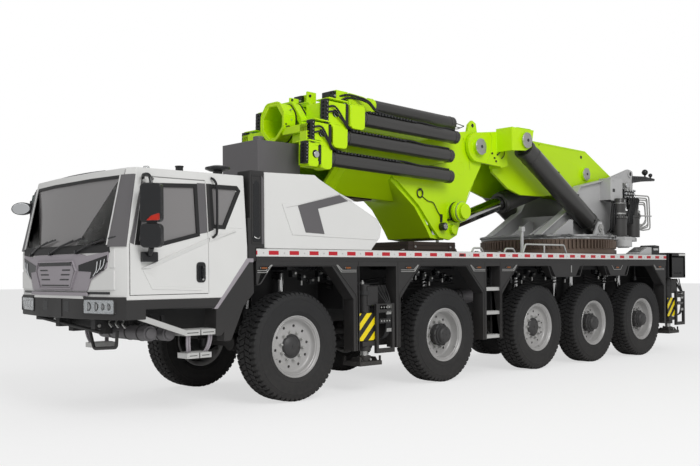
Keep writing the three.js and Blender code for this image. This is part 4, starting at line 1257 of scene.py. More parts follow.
def makeHoodTrim():
    bm = bmesh.new()
    face = hood["face"]
    addSidePlate(bm, hood["chevron"][::-1], face - 0.004, face + 0.007)
    carrierPair("hoodRecess", bm, [graphitePaint], 0.003)
    bm = bmesh.new()
    bevelEdge = [(-0.26, 2.39), (-0.005, 2.392), (0.68, 2.558), (0.93, 2.475), (0.868, 2.468),
        (0.672, 2.545), (-0.02, 2.376), (-0.19, 2.345), (0.095, 2.048), (1.36, 2.008),
        (1.34, 1.985), (-0.1, 2.02)]
    addSidePlate(bm, bevelEdge[::-1], face - 0.004, face + 0.009)
    addSidePlate(bm, [(-0.5, 1.852), (1.23, 1.852), (1.245, 1.862), (-0.5, 1.862)], face - 0.004,
        face + 0.009)
    carrierPair("hoodCrease", bm, [whiteEnamel], 0.004, 3)
    # the dark column between cab and hood, with its recess and latch
    bm = bmesh.new()
    outer = hood["columnFace"]
    addRing(addSidePlate, bm, oblong(-0.715, -0.56, 1.9, 2.7), 0.012, outer - 0.004, outer + 0.006)
    addSidePlate(bm, roundedOutline(oblong(-0.7, -0.585, 1.93, 1.99), 0.02), outer - 0.004,
        outer + 0.008, 1)
    bentTube(bm, [(outer + 0.006, -0.68, 1.985), (outer + 0.024, -0.66, 1.965), (outer + 0.024,
        -0.62, 1.965), (outer + 0.006, -0.6, 1.985)], 0.01, 0.007, 2, 8)
    recess = [(-0.69, 1.96), (-0.6, 1.96), (-0.6, 2.6), (-0.63, 2.64), (-0.66, 2.64), (-0.69, 2.6)]
    addSidePlate(bm, recess[::-1], outer - 0.003, outer + 0.003, 1)
    addSidePlate(bm, [(-0.576, 1.9), (-0.545, 1.9), (-0.545, 2.66), (-0.576, 2.7)], outer - 0.004,
        outer + 0.012, 3)
    carrierPair("columnTrim", bm, [darkAcrylic, blackMoulding, zincSteel, graphitePaint], 0.002)


makeHoodTrim()

lowerCab = {
    "sill": [(-2.351, 1.292), (-2.262, 1.201), (-1.217, 1.175), (-1.181, 1.27)],
    "wedge": [(-0.686, 1.337), (-0.695, 1.695), (-0.77, 1.695), (-1.217, 1.175), (-1.22, 0.868),
        (-1.15, 0.864)],
}


def makeLowerCab():
    bm = bmesh.new()
    addSidePlate(bm, lowerCab["wedge"], 1.02, 1.252)
    addSidePlate(bm, lowerCab["sill"], 1.06, 1.244)
    for z in (1.215, 1.238, 1.261):
        addSidePlate(bm, [(-2.29, z), (-1.22, z - 0.012), (-1.22, z - 0.004), (-2.29, z + 0.008)],
            1.24, 1.249)
    carrierPair("cabSkirts", bm, [darkAcrylic], 0.006)
    bm = bmesh.new()
    edge = [(-0.79, 1.735), (-0.69, 1.735), (-0.69, 1.688), (-0.752, 1.688), (-1.192, 1.168),
        (-1.245, 1.168)]
    addSidePlate(bm, edge, 1.2, 1.2535)
    carrierPair("skirtBevel", bm, [greyMoulding], 0.006, 3)
    # a bright stay runs back to two treads, each hung on curved arms
    bm = bmesh.new()
    addSidePlate(bm, [(-2.342, 1.2), (-2.342, 1.135), (-1.6, 0.885), (-1.6, 0.948)], 1.205, 1.236)
    softTube(bm, [(1.1, -2.3, 1.16), (1.16, -2.33, 1.2), (1.2, -2.335, 1.26)], 0.012)
    carrierPair("stepStays", bm, [anodisedAluminium], 0.003)
    bm = bmesh.new()
    for y, lean in ((-1.545, 0.05), (-1.255, -0.05)):
        path = [(1.19, y, 0.9), (1.175, y + lean * 0.1, 0.8), (1.15, y + lean * 0.5, 0.72),
            (1.1, y + lean, 0.66)]
        for offset in (-0.014, 0.014):
            softTube(bm, [(x, yk + offset, z) for x, yk, z in path], 0.014)
        addBox(bm, (1.02, y - 0.02, 0.905), (1.2, y + 0.02, 0.93))
    carrierPair("stepArms", bm, [greyMoulding], 0.002)
    bm = bmesh.new()
    for low, high in (((1.02, -1.62, 0.885), (1.238, -1.21, 0.948)), ((0.99, -1.56, 0.628),
            (1.19, -1.24, 0.69))):
        addBox(bm, low, high)
        for k in range(5):
            x = blendedBy(low[0] + 0.03, high[0] - 0.03, k / 4)
            addBox(bm, (x - 0.008, low[1] + 0.02, high[2]), (x + 0.008, high[1] - 0.02,
                high[2] + 0.006))
        middle = (low[1] + high[1]) / 2
        addBox(bm, (high[0] - 0.002, middle - 0.006, low[2]), (high[0] + 0.003, middle + 0.006,
            high[2]), 1)
        for start, end in ((low[1] + 0.03, middle - 0.03), (middle + 0.03, high[1] - 0.03)):
            addBox(bm, (high[0] - 0.002, start, low[2] + 0.026), (high[0] + 0.003, end,
                low[2] + 0.034), 1)
    carrierPair("doorTreads", bm, [anodisedAluminium, framePaint], 0.003)


makeLowerCab()

bumper = {
    "front": (-2.515, -2.405, -2.33),
    "bends": (0.45, 1.14),
    "lampOutline": [(0.625, 1.138), (0.612, 1.16), (0.612, 1.285), (0.63, 1.305), (1.13, 1.305),
        (1.15, 1.285), (1.15, 1.155), (1.13, 1.138)],
    "reflectors": [(0.7, 0.05), (0.825, 0.05), (0.94, 0.038), (1.04, 0.038)],
}


def makeBumperTrim():
    bm = bmesh.new()
    glassBm = bmesh.new()
    for side in (1, -1):
        face = onSide(side, oblong(0.16, 1.245, 1.09, 1.325))
        addFrontPanel(bm, face, 0.004, 0.002, 0, bumperFrontY)
        outline = onSide(side, bumper["lampOutline"])
        addRing(addFrontPanel, bm, outline, 0.012, 0.016, 0.002, 0, bumperFrontY)
        addFrontPanel(bm, outline, 0.006, 0.002, 2, bumperFrontY)
        addFrontPanel(glassBm, outline, 0.012, -0.008, 0, bumperFrontY)
        for x, radius in bumper["reflectors"]:
            y = bumperFrontY(side * x, 1.225)
            rodY(bm, side * x, y - 0.004, y - 0.0085, 1.222, radius, 1, 24)
            rodY(bm, side * x, y - 0.008, y - 0.0095, 1.222, radius * 0.78, 2, 24)
        slot = onSide(side, oblong(0.2, 0.33, 1.16, 1.275))
        addFrontPanel(bm, slot, 0.006, 0.002, 1, bumperFrontY)
    addFrontPanel(bm, oblong(-0.155, 0.155, 1.1, 1.3), 0.012, 0.004, 0, bumperFrontY)
    carrierPiece("bumperTrim", bm, [darkAcrylic, blackMoulding, silveredGlass], 0.002)
    carrierPiece("headlampLens", glassBm, [lampLens], 0.002)
    bm = bmesh.new()
    addFrontPanel(bm, [(-0.7, 1.335), (0.7, 1.335), (0.68, 1.372), (-0.68, 1.372)], 0.018, 0.0, 0,
        bumperFrontY)
    carrierPiece("bumperLip", bm, [greyMoulding], 0.004)
    # below the bumper: a step loop, the raked bar, two air bottles and hose stubs
    bm = bmesh.new()
    bentTube(bm, [(0.28, -2.25, 0.95), (0.38, -2.25, 0.74), (0.88, -2.25, 0.78),
        (0.9, -2.25, 0.96)], 0.04, 0.019, 0, 10)
    for start, end in (((-0.95, 1.055), (0.54, 0.925)), ((-0.95, 1.085), (0.3, 1.085))):
        a = Vector((start[0], -2.3, start[1]))
        b = Vector((end[0], -2.24, end[1]))
        addRod(bm, a, b, 0.022, 0, 10)
    addBox(bm, (-1.05, -2.28, 1.02), (-0.9, -2.12, 1.1))
    for x in (-0.42, 0.45):
        addBox(bm, (x - 0.05, -2.3, 0.96), (x + 0.05, -2.16, 1.1))
        rodX(bm, x - 0.06, x + 0.06, -2.25, 1.0, 0.02, 1, 12)
    for k in range(6):
        x = 0.46 + 0.075 * k
        softTube(bm, [(x, -2.12, 1.08), (x + 0.02, -2.16, 1.03), (x + 0.05, -2.14, 0.98)], 0.012,
            k % 2, 8)
    carrierPiece("underBumper", bm, [framePaint, zincSteel], 0.004)
    bm = bmesh.new()
    for y, z, radius, start, end in ((-1.98, 0.925, 0.082, 0.1, 1.12), (-1.76, 0.915, 0.08, 0.2,
            1.14)):
        rodX(bm, start, end, y, z, radius, 0, 28)
        for x in (start - 0.02, end - 0.01):
            rodX(bm, x, x + 0.03, y, z, radius * 0.72, 0, 24)
        for share in (0.25, 0.6, 0.85):
            x = blendedBy(start, end, share)
            rodX(bm, x - 0.013, x + 0.013, y, z, radius + 0.005, 1, 28)
            addBox(bm, (x - 0.02, y - 0.02, z + radius - 0.01), (x + 0.02, y + 0.02, z + 0.19), 1)
    carrierPiece("airBottles", bm, [graphitePaint, framePaint], 0.004)


makeBumperTrim()


kerb = {
    "centre": (-1.265, -2.37, 2.385),
    "halfWidth": 0.15,
    "halfHeight": 0.078,
    "turn": 28.0,
}


def makeRoofItems():
    bm = bmesh.new()
    rodZ(bm, 0.98, -1.93, 2.685, 2.7, 0.05, 0, 24)
    rodZ(bm, 0.98, -1.93, 2.698, 2.735, 0.04, 1, 24, 0.03)
    rodZ(bm, 1.04, -1.55, 2.685, 2.742, 0.042, 0, 20)
    rodZ(bm, 1.04, -1.55, 2.742, 2.758, 0.048, 0, 20)
    rodZ(bm, 0.96, -0.98, 2.685, 2.76, 0.055, 0, 24)
    rodZ(bm, 0.96, -0.98, 2.745, 2.765, 0.09, 0, 24, 0.14)
    rodZ(bm, 0.96, -0.98, 2.765, 2.79, 0.145, 0, 32)
    rodZ(bm, 0.96, -0.98, 2.79, 2.812, 0.145, 0, 32, 0.06)
    softTube(bm, [(-0.55, -2.19, 2.7), (-0.2, -2.205, 2.706), (0.2, -2.205, 2.706),
        (0.55, -2.19, 2.7)], 0.01)
    carrierPiece("roofItems", bm, [blackMoulding, lampLens], 0.003)
    # the far side's round kerb mirror and the dark visor plate that it hangs from
    bm = bmesh.new()
    x, y, z = kerb["centre"]
    for share, near, far, slot in ((1.0, 0.0, 0.055, 0), (0.88, -0.004, 0.002, 1)):
        oval = [(x + share * kerb["halfWidth"] * math.cos(t),
            z + share * kerb["halfHeight"] * math.sin(t)) for t in aroundAxle(32)]
        addFrontPlate(bm, oval, y + near, y + far, slot)
    bmesh.ops.rotate(bm, cent=(x, y, 0), matrix=Matrix.Rotation(math.radians(kerb["turn"]), 3, "Z"),
        verts=bm.verts)
    softTube(bm, [(x + 0.02, y + 0.04, z + 0.02), (x + 0.05, -2.28, z + 0.05), (-1.16, -2.2, 2.47)],
        0.012)
    carrierPiece("kerbMirror", bm, [blackMoulding, silveredGlass], 0.006, 3)
    bm = bmesh.new()
    addFrontPlate(bm, [(-1.135, 2.27), (-1.135, 2.56), (-1.235, 2.555), (-1.29, 2.44)], -2.235,
        -2.222)
    carrierPiece("visorPlate", bm, [bottleAcrylic], 0.004)


makeRoofItems()
print("stage: sides trimmed")

# the folded boom: heads, cylinders, hoses and pins

boom = {
    "knuckleY": 4.3,
    "knuckleZ": 3.54,
    "tilt": -1.7,
    "tubes": {"C": (0.656, 3.6, 1.6, 3.64, 0.098), "B": (0.6585, 3.3, 1.285, 3.51, 0.098),
              "A": (0.6585, 2.985, 1.01, 3.51, 0.098), "D": (0.33, 3.89, 2.08, 3.92, 0.108)},
}


def tiltWithBoom(bm):
    bmesh.ops.rotate(bm, cent=(0, boom["knuckleY"], boom["knuckleZ"]),
                     matrix=Matrix.Rotation(math.radians(boom["tilt"]), 3, "X"), verts=bm.verts)


def finishBoomPiece(name, bm, *rest):
    tiltWithBoom(bm)
    return finishPiece(name, bm, *rest)


def finishBoomPair(name, bm, *rest):
    tiltWithBoom(bm)
    return finishPair(name, bm, *rest)


# The dark cylinders beside the boom are part of its sections, so their faces are found by place.
def tubeRule(centre, normal):
    level = Matrix.Rotation(math.radians(-boom["tilt"]), 3, "X") @ (
        centre - Vector((0, boom["knuckleY"], boom["knuckleZ"])))
    y, z = level.y + boom["knuckleY"], level.z + boom["knuckleZ"]
    for x, tubeZ, start, end, radius in boom["tubes"].values():
        off = math.hypot(abs(centre.x) - x, z - tubeZ)
        if start - 0.002 <= y <= end + 0.02 and off < radius + 0.006:
            return 1
    return 0


refined("outer_boom", "outerBoom", [limeEnamel, charcoalEnamel], 0.006, rule=tubeRule)
for stageNumber in (1, 2, 3):
    refined(f"boom_stage_{stageNumber}", f"boomStage{stageNumber}", [limeEnamel, charcoalEnamel],
        0.006, rule=tubeRule)


heads = {
    "C": {"box": (1.352, 1.618, 3.425, 3.765), "plate": (0.94, 1.27, 3.42, 3.77), "strip": 0.885,
        "body": "boom_stage_1", "boxBody": "outer_boom"},
    "B": {"box": (1.03, 1.295, 3.13, 3.45), "plate": (0.7, 0.965, 3.14, 3.46), "strip": 0.645,
        "body": "boom_stage_2", "boxBody": "boom_stage_1"},
    "A": {"box": (0.83, 1.02, 2.825, 3.14), "plate": (0.6, 0.79, 2.86, 3.17), "strip": 0.545,
        "body": "boom_stage_3", "boxBody": "boom_stage_2"},
}


def makeHeads():
    for mark, head in heads.items():
        y0, y1, z0, z1 = head["box"]
        bm = bmesh.new()
        addSidePlate(bm, roundedOutline(oblong(y0, y1, z0, z1), 0.07, 5), 0.56, 0.757)
        addSidePlate(bm, oblong(y0 + 0.03, y1 - 0.02, z1 - 0.012, z1), 0.52, 0.762)
        finishBoomPair("headBox" + mark, bm, [limeEnamel], head["boxBody"], 0.01, 3)
        y0, y1, z0, z1 = head["plate"]
        bm = bmesh.new()
        if mark == "A":
            addSidePlate(bm, oblong(y0, y1, z0, z1), 0.56, 0.745)
            addSidePlate(bm, oblong(0.612, 0.7, 3.3, 3.4), 0.2, 0.7)
            addSidePlate(bm, oblong(0.612, 0.7, 3.12, 3.4), 0.56, 0.7)
        lip = [(y0 - 0.006, z1 - 0.004), (y1 + 0.01, z1 - 0.012), (y1 + 0.01, z1 + 0.006),
            (y0 - 0.006, z1 + 0.014)]
        addSidePlate(bm, lip, 0.5, 0.772)
        curl = [(y0 + 0.02, z0 - 0.02), (y1 - 0.03, z0 - 0.02), (y1, z0 + 0.03), (y1, z0 + 0.06),
            (y0 + 0.02, z0 + 0.02)]
        addSidePlate(bm, curl, 0.56, 0.752)
        for x in (0.6, 0.68):
            addFrontPlate(bm, oblong(x - 0.004, x + 0.004, z0 + 0.02, z1 - 0.02), y0 - 0.02,
                y0 + 0.01)
        finishBoomPair("headPlate" + mark, bm, [limeEnamel], head["body"], 0.005)
        bm = bmesh.new()
        front = head["strip"]
        addBox(bm, (0.655, front, z0 + 0.01), (0.756, y0 + 0.004, z1 - 0.01))
        for k in range(6):
            z = blendedBy(z0 + 0.05, z1 - 0.05, k / 5)
            rodX(bm, 0.74, 0.768, front + 0.022, z, 0.016, 0, 12)
            rodX(bm, 0.766, 0.772, front + 0.022, z, 0.007, 1, 8)
            rodY(bm, 0.7, front - 0.018, front + 0.01, z, 0.015, 0, 10)
            addBox(bm, (0.752, front + 0.03, z - 0.014), (0.764, y0, z + 0.014))
        # a black block fills the slot between the head plate and the head box: painted shade in the
        # slot
        addBox(bm, (0.64, y1 - 0.012, z0 + 0.02), (0.752, y1 + 0.035, z1 - 0.03))
        pinZ = blendedBy(z0, z1, 0.46)
        rodX(bm, 0.744, 0.765, y0 + 0.14, pinZ, 0.043, 2, 24)
        rodX(bm, 0.744, 0.752, y0 + 0.13, pinZ + 0.006, 0.052, 0, 24)
        finishBoomPair("headValves" + mark, bm, [blackMoulding, zincSteel, silveredGlass],
            head["body"], 0.003)


makeHeads()


# Hoses come out of the valve blocks and run down to the carriers on the cylinders' backs.
def makeBoomHoses():
    runs = [("B", "boom_stage_1", 0.92, 3.66), ("A", "boom_stage_2", 0.68, 3.36)]
    for mark, body, startY, startZ in runs:
        x, z, y0, y1, radius = boom["tubes"][mark]
        top = z + radius
        bm = bmesh.new()
        for k in range(2):
            drop = -0.07 * k
            tubeStart = y0 - 0.02
            path = [(0.75, startY + 0.03, startZ + drop), (0.775, startY + 0.09,
                startZ + drop + 0.012), (0.785, startY + 0.15, startZ + drop - 0.02),
                (0.785, blendedBy(startY + 0.15, tubeStart, 0.55), blendedBy(startZ + drop,
                top + 0.04, 0.6)), (0.772, tubeStart, top + 0.05 - 0.03 * k), (0.73 - 0.035 * k,
                tubeStart + 0.1, top + 0.022), (0.7 - 0.035 * k, tubeStart + 0.24, top + 0.016)]
            softTube(bm, path, 0.0135)
        for k in range(2):
            off = 0.022 * (2 * k - 1)
            mid = blendedBy(y0, y1, 0.52)
            path = [(x + off, mid, top + 0.016), (x + off + 0.03, mid + 0.2, top + 0.012),
                (x + off + 0.05, mid + 0.45, top - 0.01), (x + off + 0.035, mid + 0.75, top),
                (x + off + 0.02, y1 - 0.06, top + 0.004)]
            softTube(bm, path, 0.012)
        finishBoomPair("boomHoses" + mark, bm, [sealRubber], body)
    bm = bmesh.new()
    x, z, y0, y1, radius = boom["tubes"]["C"]
    top = z + radius
    for k in range(2):
        path = [(0.39, 1.46, 3.93 - 0.07 * k), (0.43, 1.58, 3.965 - 0.045 * k),
            (0.47, 1.74, 3.955 - 0.03 * k), (0.56, 1.86, 3.9 - 0.025 * k),
            (0.63, 1.93, 3.79 - 0.02 * k), (0.655 + 0.03 * k, 2.02, top + 0.03), (0.655 + 0.03 * k,
            2.24, top + 0.02)]
        softTube(bm, path, 0.0145)
        off = 0.022 * (2 * k - 1)
        mid = blendedBy(y0, y1, 0.52)
        path = [(x + off, mid, top + 0.016), (x + off + 0.04, mid + 0.22, top + 0.008),
            (x + off + 0.055, mid + 0.5, top - 0.012), (x + off + 0.04, mid + 0.7, top),
            (x + off + 0.02, y1 - 0.06, top + 0.004)]
        softTube(bm, path, 0.012)
    finishBoomPair("boomHosesC", bm, [sealRubber], "outer_boom")


def makeCarriers():
    for mark, body in (("C", "outer_boom"), ("B", "boom_stage_1"), ("A", "boom_stage_2")):
        x, z, y0, y1, radius = boom["tubes"][mark]
        top = z + radius
        end = blendedBy(y0, y1, 0.54)
        bm = bmesh.new()
        addSidePlate(bm, oblong(y0 + 0.1, end, top - 0.012, top + 0.012), x - 0.045, x + 0.07)
        count = int((end - y0 - 0.14) / 0.062)
        for k in range(count):
            y = y0 + 0.12 + 0.062 * k
            addPlate(bm, [(x - 0.05, y + 0.045, top + 0.004), (x + 0.085, y, top - 0.012),
                (x + 0.085, y + 0.026, top - 0.012), (x - 0.05, y + 0.071, top + 0.004)],
                (0, 0, 0.026), 1)
        addSidePlate(bm, oblong(y0 + 0.01, y0 + 0.08, z - 0.02, z + 0.11), x - 0.03, x + 0.03)
        # rings round the cylinder's cap and its far end
        for y, grow in ((y0 + 0.06, 0.008), (y1 - 0.07, 0.005), (y1 - 0.02, 0.003)):
            rodY(bm, x, y, y + 0.035, z, radius + grow, 2, 32)
        finishBoomPair("cableCarrier" + mark, bm, [blackMoulding, castIron, charcoalEnamel], body,
            0.002)


makeBoomHoses()
makeCarriers()


def makeTopHeads():
    bm = bmesh.new()
    x, z, y0, y1, radius = boom["tubes"]["D"]
    rodY(bm, x, y0 - 0.02, y0 + 0.06, z, radius + 0.012, 0, 32)
    addBox(bm, (0.12, 1.6, 3.93), (0.18, 2.06, 3.985))
    addSidePlate(bm, [(1.62, 3.8), (2.1, 3.8), (2.1, 3.93), (1.9, 3.985), (1.62, 4.0)], 0.4, 0.432)
    rodX(bm, 0.4, 0.438, 1.7, 3.9, 0.055, 0, 24)
    finishBoomPiece("topHead", bm, [limeEnamel], "outer_boom", 0.005)
    bm = bmesh.new()
    addBox(bm, (0.16, 1.345, 3.76), (0.39, 1.405, 3.995))
    for k in range(5):
        zk = 3.79 + 0.045 * k
        rodX(bm, 0.38, 0.41, 1.372, zk, 0.016, k % 2, 10)
        rodY(bm, 0.2 + 0.035 * k, 1.33, 1.35, zk, 0.014, 0, 10)
    addBox(bm, (0.392, 1.5, 3.78), (0.405, 1.6, 3.9))
    rodX(bm, 0.4, 0.412, 1.53, 3.83, 0.035, 1, 20)
    for y, grow in ((y1 - 0.08, 0.004), (y1 - 0.02, 0.002)):
        rodY(bm, x, y, y + 0.04, z, radius + grow, 2, 32)
    bentTube(bm, [(x + 0.05, y1 - 0.02, z + 0.02), (x + 0.06, y1 + 0.26, z - 0.01),
        (x + 0.06, y1 + 0.1, z - 0.075), (x + 0.05, y1 - 0.03, z - 0.09)], 0.02, 0.008, 0, 6)
    addTube(bm, [(x + 0.05, y1, z - 0.04), (x + 0.06, y1 + 0.17, z - 0.05)], 0.008, 0, 6)
    finishBoomPiece("topValves", bm, [blackMoulding, zincSteel, charcoalEnamel], "outer_boom",
        0.003)
    # the second top head rides the next section
    bm = bmesh.new()
    addBox(bm, (-0.16, 1.14, 3.74), (0.05, 1.26, 3.955))
    addSidePlate(bm, [(1.14, 3.74), (1.28, 3.74), (1.28, 3.82), (1.14, 3.95)], -0.3, -0.27)
    addBox(bm, (-0.14, 1.085, 3.76), (0.02, 1.145, 3.94), 1)
    for k in range(4):
        rodY(bm, -0.11 + 0.04 * k, 1.065, 1.09, 3.86, 0.013, 2, 10)
    rodX(bm, 0.1, 0.165, 1.13, 3.92, 0.02, 1, 12)
    finishBoomPiece("secondTopHead", bm, [limeEnamel, blackMoulding, zincSteel], "boom_stage_1",
        0.004)
    bm = bmesh.new()
    rodX(bm, 0.045, 0.105, 0.86, 3.83, 0.018, 1, 12)
    addBox(bm, (-0.12, 0.9, 3.735), (0.05, 0.98, 3.82))
    finishBoomPiece("thirdTopHead", bm, [limeEnamel, blackMoulding], "boom_stage_2", 0.004)


makeTopHeads()

sections = {
    "stage_1": (0.415, 3.22, 3.776, 1.06, 0.25),
    "stage_2": (0.325, 3.244, 3.752, 0.82, 0.22),
    "stage_3": (0.215, 3.268, 3.728, 0.6, 0.12),
    "base": (0.5, 2.59, 3.8, 1.29, 0.25),
}


# The rounded outline of a section, grown on every side.
def collarOutline(name, grow, corner=0.055):
    half, low, top, _, shoulder = sections[name]
    half, low, top = half + grow, low - grow, top + grow
    right = [(0.3 * half, low), (half, low + 0.3 * (top - low)), (half, top - 1.26 * shoulder),
        (half - shoulder, top)]
    return roundedOutline(right + bothWays(right), corner, 4)


# Collars with rounded corners at each section's mouth, a black seal ring behind and ribs between.
def makeCollars():
    for name, thick, length in (("stage_3", 0.03, 0.2), ("stage_2", 0.035, 0.13),
            ("stage_1", 0.038, 0.13)):
        body = "boom_" + name
        half, front = sections[name][0], sections[name][3]
        bm = bmesh.new()
        addRing(addFrontPlate, bm, collarOutline(name, thick), thick + 0.004, front - 0.004,
            front + length)
        addRing(addFrontPlate, bm, collarOutline(name, thick + 0.012), 0.02, front - 0.01,
            front + 0.014)
        if name == "stage_3":
            rodX(bm, half + 0.01, half + 0.055, front + 0.07, 3.4, 0.034, 1, 20)
            rodX(bm, half + 0.01, half + 0.04, front + 0.035, 3.45, 0.012, 1, 10)
            for z in (3.36, 3.52, 3.66):
                rodX(bm, half, half + 0.04, front + 0.13, z, 0.011, 2, 8)
        finishBoomPiece(body + ".collar", bm, [limeEnamel, blackMoulding, zincSteel], body, 0.003)
        bm = bmesh.new()
        seal = collarOutline(name, thick + 0.008)
        addRing(addFrontPlate, bm, seal, thick + 0.01, front + length, front + length + 0.014)
        finishBoomPiece(body + ".sealRing", bm, [sealRubber], body)
    # flared gussets from each collar out to the plates that carry the heads
    for name, plateFront, plateZ in (("stage_2", 0.7, (3.19, 3.43)),
            ("stage_1", 0.94, (3.44, 3.74))):
        body = "boom_" + name
        half, front = sections[name][0], sections[name][3]
        bm = bmesh.new()
        for z in (plateZ[0] + 0.02, plateZ[1] - 0.04):
            addPlate(bm, [(half - 0.02, front + 0.02, z), (0.655, plateFront + 0.006, z),
                (0.655, plateFront + 0.06, z), (half, front + 0.12, z)], (0, 0, 0.016))
        addPlate(bm, [(half + 0.01, front, plateZ[0] + 0.02), (half + 0.01, front, plateZ[1]),
            (0.65, plateFront + 0.012, plateZ[1] - 0.03), (0.65, plateFront + 0.012,
            plateZ[0] + 0.03)], (0.008, 0.012, 0))
        finishBoomPair(body + ".gussets", bm, [limeEnamel], body, 0.003)
    bm = bmesh.new()
    for offset, thick, slot in ((0.0, 0.034, 0), (0.05, 0.02, 1), (0.09, 0.036, 0),
            (0.22, 0.036, 0)):
        start = sections["base"][3] + offset
        addRing(addFrontPlate, bm, collarOutline("base", thick, 0.08), 0.03, start - 0.006,
            start + 0.018, slot)
    finishBoomPiece("outer_boom.collar", bm, [limeEnamel, sealRubber], "outer_boom", 0.003)


makeCollars()


def addPinCap(bm, x, y, z, radius, slot=0, reach=0.02):
    addTurned(bm, [(0.0, reach), (radius * 0.72, reach), (radius * 0.9, reach * 0.8),
        (radius, reach * 0.45), (radius, -0.006), (0.0, -0.006)], (x, y, z), slot, 36, closed=False)
    for turn in aroundAxle(3, 0.15):
        yk, zk = y + radius * 0.86 * math.sin(turn), z + radius * 0.86 * math.cos(turn)
        addBox(bm, (x - 0.004, yk - 0.02, zk - 0.012), (x + reach + 0.004, yk + 0.02, zk + 0.012),
            slot)
    rodX(bm, x + reach - 0.004, x + reach + 0.006, y, z, radius * 0.2, slot + 1, 16)


def makeBoomTrim():
    bm = bmesh.new()
    # trunnion collar and cap, with the lock ring between them
    addTurned(bm, [(0.15, 0.0), (0.165, 0.006), (0.165, 0.05), (0.15, 0.056)], (0.6, 3.8, 2.47), 0,
        40)
    addTurned(bm, oblong(0.1, 0.118, -0.01, 0.0), (0.757, 3.8, 2.47), 0, 40)
    addTurned(bm, oblong(0.155, 0.161, 0.0, 0.035), (0.545, 3.8, 2.47), 1, 40)
    addTurned(bm, oblong(0.145, 0.157, 0.0, 0.012), (0.675, 3.8, 2.47), 2, 40)
    addBox(bm, (0.5, 3.66, 2.33), (0.56, 3.8, 2.36), 1)
    # weld pad, and the lug hole as a thin black disc on the plate: painted shade where the hole is
    addTurned(bm, [(0.095, 0.0), (0.102, 0.004), (0.109, 0.0)], (0.4995, 3.975, 3.178), 0, 40,
        closed=False)
    rodX(bm, 0.498, 0.502, 4.252, 3.885, 0.032, 1, 24)
    rodX(bm, 0.5, 0.585, 3.522, 2.23, 0.062, 1, 24)
    rodX(bm, 0.58, 0.6, 3.522, 2.23, 0.045, 2, 16)
    for turn in aroundAxle(4):
        yk, zk = 3.522 + 0.03 * math.sin(turn), 2.23 + 0.03 * math.cos(turn)
        rodX(bm, 0.598, 0.606, yk, zk, 0.008, 1, 6)
    # stiffening beads on the side plate, ovals pressed into the base section and its bolts
    for path in ([(2.6, 3.16), (3.1, 3.12), (3.68, 3.24)], [(4.02, 3.66), (4.15, 3.42),
            (4.2, 3.18)], [(3.95, 2.3), (4.06, 2.56), (4.3, 2.98)]):
        softTube(bm, [(0.499, y, z) for y, z in path], 0.006, 0, 6)
    for y in (1.5, 1.76):
        z = 2.965
        half = 0.498
        bentTube(bm, [(half, y - 0.06, z), (half, y - 0.06, z + 0.045), (half, y + 0.06, z + 0.045),
            (half, y + 0.06, z), (half, y - 0.06, z)], 0.02, 0.006, 0, 6)
    finishBoomPair("boomPins", bm, [limeEnamel, blackMoulding, zincSteel], "outer_boom", 0.003)
    bm = bmesh.new()
    for y in (1.4, 1.62, 2.02, 2.26):
        rodX(bm, 0.48, 0.508, y, 3.07, 0.009, 0, 6)
    loop = [(0.512, 3.02 + 0.062 * math.sin(t), 2.7 + 0.062 * math.cos(t)) for t in aroundAxle(16)]
    addTube(bm, loop, 0.011, 1, 8, closed=True)
    addBox(bm, (0.498, 3.0, 2.745), (0.53, 3.04, 2.775), 1)
    cable = [(0.51, 3.07, 2.66), (0.512, 3.2, 2.6), (0.515, 3.32, 2.58), (0.515, 3.42, 2.46),
        (0.515, 3.5, 2.38)]
    softTube(bm, cable, 0.0075, 1, 6)
    addBox(bm, (0.5, 3.49, 2.3), (0.522, 3.53, 2.42), 1)
    finishBoomPair("boomFittings", bm, [zincSteel, blackMoulding, silveredGlass], "outer_boom",
        0.002)
    # wear strips that the base section rests on
    bm = bmesh.new()
    low = 2.59
    for y0, y1 in ((1.34, 1.58), (1.66, 2.36)):
        addBox(bm, (-0.155, y0, low - 0.026), (0.155, y1, low - 0.001))
    finishBoomPair("wearStrips", bm, [castNylon], "outer_boom", 0.003)


makeBoomTrim()


